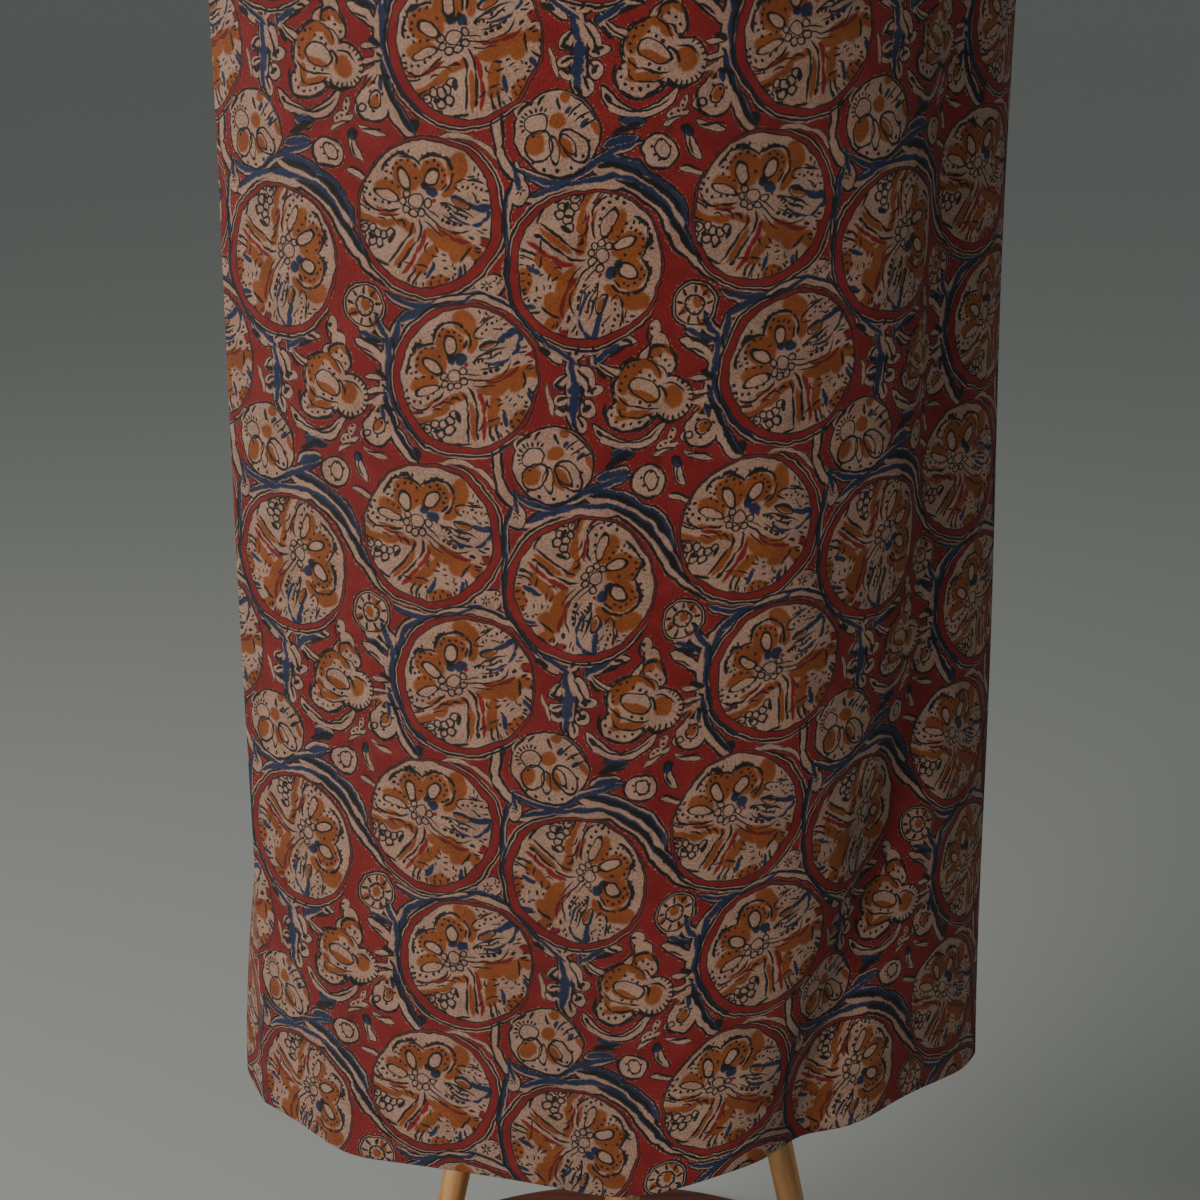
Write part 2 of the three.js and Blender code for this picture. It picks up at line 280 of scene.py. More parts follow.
def medallion_chart() -> Chart:
    """Charts one medallion's flower, leaf, stem and fields.

    Returns:
        The chart, whose places are measured from the middle of the ring.
    """
    black = [
        # three petals: their tongues, then their outlines
        Oval(-9.2, 16.2, 3.4, 5.3, 5, 1.3),
        Oval(-19.4, 5.9, 5.8, 3.0, -30, 1.3),
        Oval(-21.5, -6.2, 7.2, 2.5, 20, 1.1),
        Stroke(-18.5, 16, -13, 27, 2.4, 1.3),
        Stroke(-13, 27, -2, 25.5, 2.2, 1.5),
        Stroke(-2, 25.5, 0.5, 15.5, 1.8, 1.2),
        Stroke(-18, 19, -10, 28, 2.6, 2.2),
        Stroke(-31.5, 2.5, -28.5, 12.5, 2.2, 1.3),
        Stroke(-28.5, 12.5, -17, 17, 2.0, 1.3),
        Stroke(-30.5, 11.5, -24, 16.8, 1.6, 2.3),
        Stroke(-31.8, 8, -31.6, 0.5, -0.6, 1.8),
        Stroke(-37, -4, -32, -14.6, -1.8, 1.3),
        Stroke(-32.5, -14.2, -17.5, -12.3, -3.2, 1.3),
        Stroke(-18.5, -12.6, -11.5, -6.5, -1.0, 1.3),
        Stroke(-39, -3, -33.5, -24, -2.6, 2.3),
        Stroke(-34, -23, -26, -32, -1.2, 2.0),
        Stroke(-0.8, 19.8, -1.5, 14, 0.2, 1.3),
        Stroke(1.3, 19.6, 0.8, 14.6, 0.2, 1.3),
        # the middle
        Oval(-7.2, 1.6, 3.6, 3.4, 0, 0.7),
        *beads(1.9, 0.8, (-1.8, -1.0), (-4.6, -4.0), (-8.4, -4.6), (-12.0, -2.6), (-13.2, 1.4), (-1.9, 4.2)),
        # the leaf, its saw-toothed middle and its outline
        Oval(11.2, 17.3, 5.0, 2.2, 22, 0.8),
        Stroke(2.2, 8.2, 22, 17, 1.6, 0.9),
        Stroke(2.8, 8.2, 10, 10.6, 0.7, 1.1),
        Stroke(9.5, 10.4, 18.8, 15.2, -0.9, 1.1),
        *fan(7, 3, 5.4, 7.4, 40, 118, 5, 1.2),
        *fan(14, 22, 8.6, 10.4, 245, 295, 4, 1.2),
        Stroke(7.8, 3.4, 10.4, 4.0, 0.1, 1.7),
        Stroke(11.0, 4.3, 13.6, 5.1, 0.1, 1.7),
        Stroke(14.4, 5.3, 17.2, 6.7, 0.1, 1.7),
        Stroke(17.8, 7.4, 19.6, 9.4, 0.1, 1.5),
        Stroke(-2.0, 2.2, 7.0, 2.6, 0.3, 0.7),
        Stroke(-3.2, 0.6, 14.5, 1.6, -1.2, 0.9),
        Stroke(13.5, 1.3, 23.0, 11, -2.2, 0.9),
        Stroke(2.2, -2.8, 14.8, -2.0, -0.5, 0.8),
        Stroke(24.4, 7.6, 27.6, 9.2, 0.2, 1.7),
        Stroke(25.6, 13.6, 29.8, 14.4, 0.1, 0.9),
        # the fan of drawn lines
        Stroke(14.4, 31.8, 6.3, 26.8, -0.5, 1.1),
        Stroke(6.8, 27.4, 2.6, 21.2, -0.7, 1.0),
        Stroke(2.6, 21.0, 8.4, 21.2, -0.6, 0.9),
        Stroke(8.8, 31.2, 5.6, 28.6, 0.2, 0.9),
        Stroke(11.6, 32.2, 7.6, 29.2, 0.2, 0.8),
        Stroke(5.0, 34.4, 6.8, 32.2, 0.1, 0.9),
        Stroke(8.8, 33.6, 10.2, 31.8, 0.1, 0.9),
        Stroke(16.8, 29.2, 19.2, 31.2, 0.1, 0.9),
        Stroke(18.8, 26.4, 21.4, 27.8, 0.1, 0.9),
        Stroke(12.4, 24.8, 17.6, 23.6, 0.5, 0.8),
        *dots(0.75, (12.7, 27.7), (15.4, 28.9), (17.9, 24.6), (7.2, 23.2), (9.6, 24.8), (10.2, 27.6)),
        # the rim
        Oval(0, 0, 36.0, 36.0, 0, 0.9),
        # the right-hand field and its bars
        Stroke(28.3, 4.6, 28.8, -5.4, 0.3, 1.4),
        Stroke(31.0, -4.0, 36.4, -9.2, 0.2, 1.3),
        Stroke(29.8, 4.8, 33.2, 7.0, 0.2, 1.2),
        Stroke(30.4, -23.2, 17.6, -31.4, 1.0, 1.4),
        Stroke(15.2, -22.4, 17.8, -31.2, -0.3, 1.3),
        Stroke(12.5, -23.6, 14.6, -32.4, -0.4, 1.3),
        Stroke(10.9, -22.2, 17.6, -19.0, 0.4, 1.0),
        Stroke(5.6, -26.8, 9.8, -23.2, 0.2, 0.9),
        Stroke(10.0, -9.4, 12.4, -13.8, -1.7, 1.0),
        Stroke(13.3, -9.2, 17.2, -9.8, 0.3, 1.0),
        Stroke(14.4, -12.8, 18.2, -11.2, -0.4, 1.0),
        Stroke(18.8, -9.2, 21.2, -8.0, 0.2, 0.9),
        Stroke(21.0, -11.6, 23.2, -9.4, 0.2, 0.9),
        Stroke(23.8, -14.2, 25.8, -12.4, 0.2, 0.9),
        Stroke(17.2, -15.0, 19.8, -16.2, 0.2, 0.9),
        Stroke(26.0, -8.0, 27.4, -10.4, 0.2, 0.9),
        *dots(0.8, (28.8, -9.6), (31.0, -11.9), (23.0, -21.0), (18.0, -22.2), (25.6, -17.6), (30.0, -16.0)),
        # the stem
        Stroke(-2.7, -7.6, -0.3, -15.5, 1.2, 1.3),
        Stroke(-0.5, -14.5, -0.1, -33.0, 0.3, 1.5),
        Stroke(-0.6, -3.8, 4.4, -14.5, 1.7, 1.4),
        Stroke(4.3, -13.5, 4.7, -28.5, 0.6, 1.5),
        Oval(5.2, -29, 1.0, 1.8, 10),
        # the scaled field
        *beads(
            2.3, 0.9, (-9.6, -22.7), (-9.4, -27.2), (-12.9, -24.4), (-7.2, -19.4), (-20.8, -26.6),
            (-24.2, -28.6),
        ),
        *beads(2.1, 0.9, (-13.6, -29.2), (-17.0, -24.0), (-19.8, -30.6)),
        Oval(-5.4, -20.5, 1.3, 3.0, 10),
        Oval(-15.6, -27.6, 1.9, 1.3, 0),
        Oval(-25.2, -32.6, 3.2, 1.7, -15),
        Oval(-15.8, -33.0, 3.2, 1.3, 5),
        Stroke(-6.5, -25.6, -9.4, -30.6, 0.6, 1.2),
        Stroke(-22.6, -26.2, -20.4, -27.2, 0.1, 0.9),
        Stroke(-25.4, -25.6, -23.4, -24.8, 0.1, 0.9),
        Stroke(-26, -33.4, -7, -35.0, -1.4, 1.9),
        Stroke(-7.5, -35.0, 1.5, -33.2, -0.4, 1.4),
        Stroke(-29.5, -25.2, -19.5, -22.4, -0.5, 0.9),
        Stroke(-8.8, -11.9, -3.2, -11.7, 1.3, 1.4),
        Stroke(-33, -19.2, -24, -17.8, -0.4, 0.9),
        # dots round the petals
        *dots(0.8, (-13, 24.4), (-10.2, 23.8), (-7.1, 23.6), (-4.3, 22.1), (-14.8, 20.8), (-3.4, 18.8)),
        *dots(
            0.8, (-26.3, 12), (-27.4, 8.9), (-27.7, 5.7), (-27.0, 2.9), (-23.8, 14.7), (-20, 15.2),
            (-15.2, 10.6),
        ),
        *dots(
            0.9, (-32.8, -7.2), (-32.2, -11.0), (-28.9, -12.2), (-25.0, -12.3), (-20.9, -9.9),
            (-18.0, -8.0),
        ),
        *dots(0.8, (-27.2, -0.4), (-23.2, 0.2), (-19.4, 0.6)),
        # the petals' fringes, and the teeth inside the rim
        *fan(-9.2, 17.7, 9.8, 11.8, 25, 160, 9, 1.2),
        *fan(-20.2, 8.5, 10.4, 12.4, 120, 215, 7, 1.2),
        *fan(-22.0, -5.0, 12.2, 14.0, 195, 260, 6, 1.2),
        *fan(0, 0, 32.6, 35.4, -64, -24, 7, 1.0),
        *fan(0, 0, 31.6, 34.6, 8, 30, 4, 1.0),
        Stroke(-16.2, -14.6, -6.2, -14.2, 2.2, 1.0),
        Stroke(-19.0, -18.2, -12.6, -16.4, 1.0, 0.9),
        Stroke(8.4, 12.6, 17.2, 16.6, -0.8, 0.8),
        Stroke(6.2, 5.4, 19.4, 9.6, -1.2, 0.8),
    ]
    blue = [
        Oval(-8.6, 9.7, 2.4, 2.2),
        Oval(-3.4, 9.8, 3.2, 2.9, 20),
        Stroke(5.6, 15.6, 14.5, 20.0, 0.9, 1.9),
        Stroke(13.5, 19.7, 24.5, 25.2, -0.5, 2.9),
        Stroke(24.4, 25.4, 25.4, 18.6, 1.4, 2.2),
        Stroke(25.6, 19.6, 22.6, 13.0, 0.9, 1.7),
        Oval(22.4, 24.4, 3.2, 1.8, 32),
        Stroke(9.0, 8.4, 22.4, 12.8, -1.3, 1.7),
        Stroke(30.8, -6.2, 34.8, -12.6, 0.2, 2.4),
        Stroke(34.8, 1.6, 39.2, -3.8, 0.2, 2.2),
        Stroke(18.4, -15.4, 20.6, -24.2, 0.3, 2.5),
    ]
    ochre = [
        Oval(-9.2, 17.7, 8.2, 8.4),
        Oval(-20.2, 8.5, 8.8, 7.6, -20),
        Oval(-23.0, -3.4, 7.8, 4.6, 16),
        Oval(-1.2, 28.8, 7.6, 5.2, -42),
        Oval(2.9, 17.6, 2.8, 5.4, -8),
        Oval(11.4, 17.2, 4.0, 1.5, 22),
        Oval(24.2, -1.6, 4.7, 6.0, 12),
        Oval(21.0, 0.4, 11.4, 4.4, 14),
        Oval(12.8, -5.2, 8.4, 2.9, 4),
        Oval(13.2, -15.0, 3.1, 8.8, -5),
        Oval(32.8, 3.3, 5.0, 3.1, -25),
        Oval(27.2, -20.8, 6.4, 4.0, 45),
        Oval(13.4, -22.6, 4.2, 2.6, 35),
        *chain(4.2, (-1.4, -1.2, 1.0), (-30, -23.4), (-17.5, -19.8), (-9.6, -13.2), (-2.0, -10.4)),
        Stroke(-23.2, -14.4, -12.6, -9.0, -0.9, 2.2),
        Stroke(1.4, -12, 2.5, -32, 0.5, 3.2),
        Oval(-1.6, -9.4, 2.6, 1.6, -40),
    ]
    red = [
        Stroke(4.6, -5.8, 8.0, -18.6, 1.1, 2.7),
        Stroke(7.9, -17, 8.9, -31.5, 0.4, 2.3),
        Stroke(7.6, -0.4, 17.5, 0.6, -0.8, 1.6),
        Stroke(16.0, 0.2, 27.0, 6.4, -1.1, 2.1),
        Stroke(-20.0, -16.0, -9.4, -9.2, -0.7, 1.7),
        Stroke(-31.5, -17.6, -24.5, -17.0, -0.2, 1.1),
        Oval(33.6, 11.2, 3.8, 2.6, -15),
        Oval(0.0, 7.2, 1.0, 1.0),
    ]
    resist = [
        Oval(-9.2, 16.2, 2.9, 4.7, 5),
        Oval(-19.4, 5.9, 5.2, 2.5, -30),
        Oval(-21.5, -6.2, 6.4, 1.9, 20),
    ]
    return Chart(black, blue, ochre, red, resist)


def field_chart() -> Chart:
    """Charts what stands on the red field between the medallions.

    Returns:
        The chart, whose places are measured from the middle of the first medallion.
    """
    black = [
        # the lotus: its tongue, petals, dots and fringe
        Oval(112.8, -88.5, 8.6, 5.0, -24, 1.0),
        Stroke(98.5, -91, 100, -79, 1.8, 1.3),
        Stroke(100, -79, 112, -73, 1.8, 1.3),
        Stroke(112, -73, 122, -84, 2.4, 0.9),
        Stroke(99, -90, 107, -97, -0.8, 1.0),
        Stroke(115, -69, 124, -67.6, 2.0, 1.9),
        Stroke(124, -67.8, 128.6, -81, 1.6, 1.3),
        Stroke(116.8, -75.6, 124.6, -83, 2.2, 0.9),
        Stroke(115.6, -65.6, 113.4, -73.5, 0.4, 1.3),
        Stroke(114, -55.6, 115.8, -65.6, -1.6, 1.1),
        Stroke(101, -96.4, 104.2, -101.6, -1.2, 1.1),
        Stroke(103.8, -101.5, 118.4, -99.8, -1.6, 1.1),
        Stroke(105.4, -95.6, 120.6, -98, -1.0, 1.0),
        Stroke(94.2, -93.5, 96.8, -106, -1.8, 2.2),
        Stroke(96.4, -105.4, 106.4, -108.6, -1.2, 1.7),
        Stroke(105.6, -108.6, 117, -103, -1.6, 1.7),
        Stroke(115, -101, 118, -105, 0.3, 2.2),
        Stroke(122.6, -86.6, 134.0, -92.0, 2.6, 1.2),
        Stroke(117.4, -101.6, 132.6, -103.4, -2.2, 2.1),
        Stroke(121, -86.4, 124, -94, 0.8, 1.6),
        *fan(127, -93, 8.4, 11.8, -112, 66, 12, 1.1),
        *dots(
            1.1, (98.2, -81), (97.0, -85), (96.9, -89), (98.0, -93), (100.2, -77.4), (103, -74.8),
            (106.6, -73),
        ),
        *dots(0.8, (102.8, -80.8), (101, -84), (101, -87.6), (104.2, -77), (107.4, -76.2), (110.4, -79.6)),
        *dots(0.9, (114.5, -81.6), (117.5, -84.0), (120.6, -87.0), (110.4, -95), (115.4, -96.2)),
        *dots(0.8, (119.5, -71.6), (122.6, -73.6), (125, -77), (125.3, -81), (115.6, -72.4)),
        *dots(0.85, (97, -96), (97, -99.8), (99.2, -103), (102.6, -105.2), (106.4, -105.4), (110.6, -104.4)),
        Oval(115.2, -57.6, 1.1, 0.9),
        *chain(1.1, (-1.0, -1.6), (90, -109), (104.8, -115.6), (120, -110)),
        Stroke(88.6, -107, 92, -111, 0.2, 2.2),
        # the leaf sprig
        Stroke(68.6, -86.2, 74.6, -79.0, 1.1, 1.4),
        Stroke(68.6, -92.6, 75.0, -90.2, 0.8, 1.6),
        Stroke(68.4, -94.4, 72.4, -97.2, 0.3, 2.2),
        Stroke(67.8, -84.4, 73.4, -86.4, 0.3, 2.4),
        Stroke(79.0, -75.6, 85.2, -86.0, 0.9, 1.3),
        Stroke(83.6, -88.2, 88.6, -85.8, 0.2, 2.3),
        Stroke(84.4, -83.6, 86.4, -90.0, 0.2, 1.9),
        Stroke(79.8, -90.0, 84.4, -97.2, 0.6, 1.3),
        Stroke(81.8, -97.4, 86.6, -94.2, 0.2, 2.3),
        Stroke(78.8, -98.0, 81.2, -105.4, 0.3, 1.5),
        Stroke(74.8, -102.6, 78.4, -107.2, 0.3, 1.9),
        # the hook and star under the third ring
        Stroke(68.0, -59.4, 79.0, -64.0, 1.7, 2.2),
        Stroke(78.8, -63.6, 77.0, -69.8, 0.9, 1.6),
        Stroke(86.4, -60.4, 87.2, -67.4, 0.2, 2.3),
        Stroke(83.6, -63.6, 89.0, -64.2, 0.2, 1.7),
        Stroke(89, -73, 101, -81, -1.6, 1.1),
        Stroke(88, -75, 93, -82, -0.4, 2.4),
        Stroke(94, -71, 104.0, -67.0, 0.5, 2.2),
        Stroke(100.5, -64, 107, -65.8, 0.5, 1.8),
        # the rosette
        Oval(137.0, -47.0, 4.9, 4.9, 0, 1.1),
        Oval(137.0, -47.0, 10.6, 10.4, 0, 0.9),
        *fan(137, -47, 5.8, 10.0, 10, 330, 9, 1.5),
        *fan(137, -47, 3.4, 4.4, 0, 315, 8, 0.8),
        # the right-hand leaf, bars and bud
        Stroke(134.4, -64.0, 145, -66.6, 0.4, 2.6),
        Stroke(134.0, -68.6, 142.4, -73.0, 0.7, 1.1),
        Stroke(151.0, -62.0, 152.6, -74.6, 0.8, 1.3),
        Stroke(141.4, -80.6, 148.6, -84.6, 0.3, 3.2),
        Stroke(145.6, -98.6, 153.6, -100.8, 0.3, 2.4),
        Stroke(146, -88, 149, -91, 0.2, 1.6),
        Stroke(135.0, -109.0, 141.4, -119.6, -2.4, 1.7),
        Stroke(141.0, -119.4, 151.0, -116.6, -1.6, 1.5),
        Stroke(137.5, -104.5, 143, -98.5, 0.8, 1.0),
        Oval(137.6, -112.6, 2.0, 1.8, 0, 0.9),
        *dots(
            0.8, (142, -105), (145.6, -107.4), (141.4, -110.4), (147, -111.6), (143.6, -114.6),
            (149, -107.2),
        ),
        Oval(144.4, -109.2, 3.4, 4.2, -20, 0.9),
        # the lower bud and curl
        Stroke(108.0, -130.0, 110.0, -140.0, -1.8, 1.6),
        Stroke(109.6, -139.6, 120.4, -141.4, -1.8, 1.5),
        Stroke(112.0, -127.6, 122.0, -130.6, 1.8, 1.1),
        Oval(117.5, -134.4, 3.6, 4.6, 25, 0.9),
        *dots(
            0.75, (112.4, -133), (113.6, -136.8), (116.4, -139), (120.8, -137.2), (121.6, -133.4),
            (117.2, -130.6),
        ),
        Stroke(131.0, -128.0, 134.0, -136.6, -1.4, 1.1),
        *dots(0.8, (122.6, -117.6), (125.4, -116.2), (128.2, -113.0), (128.8, -109.8)),
        Stroke(138.0, -86.4, 150.0, -84.4, -0.4, 1.0),
        Stroke(138.4, -93.6, 149.0, -92.4, 0.3, 1.2),
        Stroke(120.0, -121.0, 131.0, -118.6, 0.6, 1.0),
        Stroke(136.0, -122.0, 148.0, -123.0, -0.6, 1.2),
        Stroke(128.0, -141.4, 139.0, -146.0, 0.6, 1.4),
        # the small round flower
        Stroke(70.6, -106.0, 87.6, -123.6, 3.6, 1.1),
        Stroke(48.6, -132.6, 63.4, -145.4, -2.2, 1.4),
        Stroke(63.0, -145.4, 82.0, -139.4, -2.4, 1.4),
        Stroke(48.4, -117.0, 56.0, -109.6, 1.2, 1.6),
        Stroke(57.0, -112.0, 60.4, -107.4, 0.4, 1.2),
        Oval(57.2, -120.6, 5.2, 5.0, 0, 0.8),
        *fan(57.2, -120.6, 5.8, 8.2, 60, 210, 9, 1.1),
        Stroke(72.2, -117.4, 79.6, -110.8, 0.3, 1.0),
        Stroke(75.4, -120.2, 84.6, -113.6, 0.3, 1.0),
        Stroke(78.6, -123.4, 87.0, -118.0, 0.3, 1.0),
        Stroke(68.6, -114.6, 66.4, -108.4, 0.3, 1.6),
        Oval(75.6, -131.2, 5.6, 8.8, 38, 1.2),
        Oval(72.6, -130.6, 2.8, 5.6, 36, 1.0),
        Oval(58.6, -131.4, 6.0, 7.6, -22, 1.1),
        Oval(65.6, -133.4, 2.4, 6.6, 4, 1.0),
        *dots(
            0.9, (55.4, -139.2), (60.6, -142.0), (67.6, -142.6), (74.0, -141.4), (79.6, -136.2),
            (82.0, -129.6),
        ),
        *dots(
            0.8, (76.0, -116.2), (79.4, -118.0), (81.6, -121.0), (56.2, -127.2), (61.4, -137.4),
            (76.2, -136),
        ),
        # lines beside the vines
        *chain(1.3, (-1.6, -1.2, -0.6), (44.4, 12.0), (41.6, -20.0), (45.0, -44.0), (61.0, -64.4)),
        *chain(3.0, (2.4, 0.2, -1.0), (99.0, 14.0), (124.0, -5.0), (134.0, -19.6), (160.0, -35.0)),
        *chain(3.2, (1.8, 1.6), (88.0, -140.6), (110.0, -147.0), (127.0, -163.0)),
        Stroke(93.0, -126.6, 108.4, -121.0, 0.8, 3.6),
        Stroke(58.6, -66.0, 66.0, -70.0, 0.3, 3.0),
        *chain(1.0, (0.0, -1.6), (35.8, -111), (36.6, -133.4), (46.6, -148.6)),
        *chain(1.0, (0.0, -1.6), (40.6, -113), (40.9, -131.4), (50.0, -144.6)),
        *chain(2.2, (-0.6, -0.6), (-21.6, -96.0), (-14.4, -112.0), (-6.0, -124.6)),
        *chain(1.0, (1.4, 1.4, 1.4), (6.0, -43.0), (26.8, -39.2), (47.8, -46.6), (62.4, -63.6)),
        # hatching in the two small triangles
        *fan(33.4, -35.4, 0.6, 3.0, -80, 220, 6, 0.9),
        *fan(38.6, -33.0, 0.6, 2.4, -60, 260, 5, 0.8),
        *fan(49.0, 11.0, 0.5, 2.6, -80, 220, 5, 0.8),
        *fan(-2.0, -57.0, 0.8, 2.6, -70, 200, 4, 0.9),
    ]
    blue = [
        *chain(
            2.3, (-1.6, -1.2, -1.0, 0.0), (46.0, 14.0), (43.2, -20.0), (46.6, -44.0), (62.4, -64.0),
            (77, -73),
        ),
        Stroke(75.4, -71.6, 77.6, -84.0, -0.5, 3.0),
        Stroke(77.4, -81.0, 75.8, -99.6, 0.3, 5.2),
        Stroke(76.0, -96.0, 76.0, -105.0, 0.2, 3.2),
        Oval(77.4, -86.6, 4.2, 2.5),
        Oval(75.6, -95.2, 3.4, 2.2),
        *chain(3.0, (1.2, 0.8, 3.4), (55.0, 8.0), (78.5, 15.6), (99.0, 16.0), (124.0, -4.6)),
        *chain(4.0, (0.2, -1.6), (122.0, -3.0), (136.0, -21.0), (169.0, -38.4)),
        *chain(
            3.1, (-1.0, 1.2, -1.2, -0.8), (143.6, -52), (149.4, -64), (149.6, -84), (157, -103),
            (169, -116),
        ),
        Stroke(132.6, -60.4, 147.6, -67.6, 0.7, 3.0),
        Stroke(86.0, -73.4, 100.0, -65.6, 0.6, 3.0),
        Stroke(86.2, -69.0, 86.6, -75.0, 0.2, 2.4),
        Stroke(95.6, -119.4, 110.0, -120.6, -0.6, 4.6),
        Stroke(89.6, -133.0, 106.0, -129.4, 1.0, 4.2),
        *chain(2.8, (-2.0, 1.6), (49.0, -142.0), (71.0, -147.4), (105.0, -131.6)),
        *chain(4.0, (2.0, 2.6), (86.0, -138.4), (112.0, -145.6), (130.6, -168.0)),
        Stroke(38.2, -105.6, 42.2, -120.0, 0.3, 2.8),
        Stroke(47.0, -138.0, 50.0, -152.0, -0.6, 2.4),
        *chain(2.2, (-2.4, -2.0), (-19.0, -41.6), (1.0, -45.4), (26.0, -39.6)),
        *chain(1.9, (0.6, 0.4), (24.0, -38.6), (34.0, -40.0), (47.0, -45.6)),
        *chain(3.8, (-0.6, 0.8, 0.4), (4.0, -45.0), (-14.0, -55.0), (-19.4, -70.0), (-20.8, -84.0)),
        *chain(3.0, (-0.4, -0.6), (-22.0, -92.0), (-15.6, -110.0), (-5.0, -125.0)),
        Oval(130.6, -125.6, 2.8, 3.0, 20),
        Stroke(146.0, -97.6, 147.2, -105.6, 0.2, 2.6),
        Stroke(78.4, -122.6, 82.6, -118.6, 0.1, 2.2),
        Stroke(70.6, -116.0, 74.0, -112.2, 0.1, 2.2),
        Oval(-5.0, -122.0, 3.4, 3.0, 40),
    ]
    ochre = [
        Oval(127.0, -92.6, 5.0, 5.4),
        Oval(105.0, -78.6, 7.6, 4.3, 40),
        Oval(113.4, -75.0, 5.0, 2.4, -12),
        Oval(101.6, -84.4, 2.6, 5.4, 5),
        Oval(117.0, -69.6, 3.8, 2.6, 15),
        Oval(123.6, -69.0, 4.6, 2.0, -45),
        Oval(111.6, -91.4, 8.0, 2.3, -20),
        Oval(118.6, -79.4, 4.4, 2.1, -48),
        Oval(107.4, -100.4, 8.6, 2.1, 5),
        Oval(101.8, -95.4, 2.4, 4.4, 8),
        Oval(137.4, -46.6, 2.5, 2.9, 10),
        Oval(130.2, -50.6, 2.6, 2.0, 30),
        Oval(141.6, -41.0, 1.6, 4.4, 30),
        Oval(141.0, -56.4, 2.2, 1.7, 0),
        Oval(144.2, -109.0, 2.6, 3.2, -20),
        Oval(141.0, -99.6, 1.8, 2.6, 40),
        Oval(121.0, -126.0, 2.6, 2.0, 60),
        Oval(67.4, -119.6, 4.0, 3.9),
        Oval(71.4, -108.4, 2.8, 2.5),
        Oval(70.6, -132.6, 3.6, 5.6, 25),
        Oval(57.0, -131.0, 4.2, 5.6, -20),
        Oval(85.6, -123.6, 1.6, 4.6, 30),
    ]
    resist = [
        Oval(111.0, -86.5, 15.5, 14.0, -20),
        Oval(119.0, -75.0, 10.0, 10.0, -40),
        Oval(107.0, -100.0, 13.5, 9.5, 8),
        Oval(127.5, -93.5, 11.0, 11.5, 0),
        Oval(117.0, -57.5, 3.4, 4.4, 0),
        Oval(120.6, -65.0, 4.6, 6.4, 30),
        *chain(6.4, (-2.2, -2.8), (87.5, -105), (105, -117), (124, -106)),
        Stroke(78.0, -69.0, 76.0, -108.0, 0.0, 9.0),
        Oval(83.6, -81.0, 4.0, 8.0, 18),
        Oval(87.0, -87.6, 5.6, 3.2, 15),
        Oval(84.6, -96.0, 4.4, 4.6, 30),
        Oval(80.6, -103.6, 3.0, 5.0, 0),
        Oval(70.8, -82.6, 3.0, 5.0, -40),
        Oval(70.6, -91.4, 4.4, 2.8, 20),
        Oval(70.4, -97.4, 3.8, 2.4, -20),
        Oval(137.0, -47.0, 12.4, 12.2),
        Oval(137.0, -58.0, 5.0, 4.0),
        Stroke(129.6, -63.6, 150.0, -78.6, 1.2, 6.4),
        *chain(8.0, (-1.0, 1.2, -1.2, -0.8), (141, -52), (151, -64), (152, -84), (160, -103), (172, -118)),
        Oval(143.4, -110.6, 9.6, 9.0, -30),
        Oval(136.6, -113.0, 4.0, 3.6),
        Stroke(139.0, -104.0, 147.0, -94.0, 0.8, 5.0),
        Oval(116.4, -135.0, 9.4, 8.0, -10),
        Stroke(130.0, -124.0, 137.0, -139.0, -1.6, 5.4),
        Oval(67.4, -125.0, 21.0, 20.4),
        Oval(50.6, -114.0, 4.0, 5.0, -30),
        *chain(7.0, (1.6, 0.8), (66.0, -58.4), (80.0, -63.0), (77.0, -71.0)),
        Oval(86.6, -64.0, 4.4, 5.4),
        *chain(5.6, (-1.6, 0.6), (86.0, -71.6), (101.0, -80.0), (104, -83)),
        Stroke(88.0, -66.0, 110.0, -64.0, 0.8, 6.0),
        *chain(9.0, (1.2, 0.8, 3.4), (54.0, 6.0), (78.5, 13.0), (100.0, 13.0), (124.0, -7.0)),
        *chain(10.0, (0.2, -1.6), (120.0, -1.0), (134.0, -22.0), (170.0, -41.0)),
        *chain(9.0, (1.8, 2.4), (86.0, -142.0), (112.0, -150.0), (129.0, -170.0)),
        *chain(6.4, (0.0, -1.6), (38.4, -107), (38.8, -132.4), (48.6, -148.0)),
        *chain(7.6, (-0.6, 0.8, 0.4), (8.0, -45.0), (-15.0, -55.0), (-21.4, -70.0), (-23.0, -90.0)),
        *chain(7.0, (-0.4, -0.6), (-24.0, -88.0), (-17.6, -111.0), (-6.0, -127.0)),
        Oval(34.6, -35.6, 8.0, 6.4, 20),
        Oval(49.0, 10.0, 5.0, 7.0, 0),
        Stroke(58.0, -62.0, 72.0, -74.0, 0.2, 6.0),
        *chain(4.6, (1.4, 1.4, 1.4), (5.5, -45.0), (26.6, -41.2), (46.8, -48.2), (60.8, -64.5)),
        Stroke(0.0, -119.0, 14.0, -123.0, 1.0, 3.4),
        *chain(3.4, (1.6, 1.4), (10.0, -126.4), (26.0, -128.6), (37.0, -137.4)),
        Stroke(136.0, -84.0, 152.0, -87.0, 0.6, 4.2),
        Stroke(137.0, -91.6, 150.0, -90.4, -0.5, 3.4),
        Stroke(136.6, -97.0, 146.0, -94.0, -0.5, 3.0),
        Stroke(118.0, -124.0, 133.0, -116.0, 1.0, 4.0),
        Stroke(134.0, -120.0, 150.0, -126.0, -1.2, 3.6),
        Stroke(126.0, -143.0, 140.0, -148.0, 0.8, 3.6),
        Stroke(99.0, -143.0, 112.0, -149.0, 0.6, 3.2),
        Stroke(90.0, -112.6, 97.0, -116.4, 0.3, 3.2),
        Stroke(63.0, -84.0, 66.4, -100.0, 0.6, 2.8),
        Stroke(88.0, -133.0, 107.0, -128.6, 1.0, 6.6),
        Oval(124.0, -117.0, 4.6, 2.6, 30),
        Oval(128.6, -111.6, 2.2, 4.2, -20),
    ]
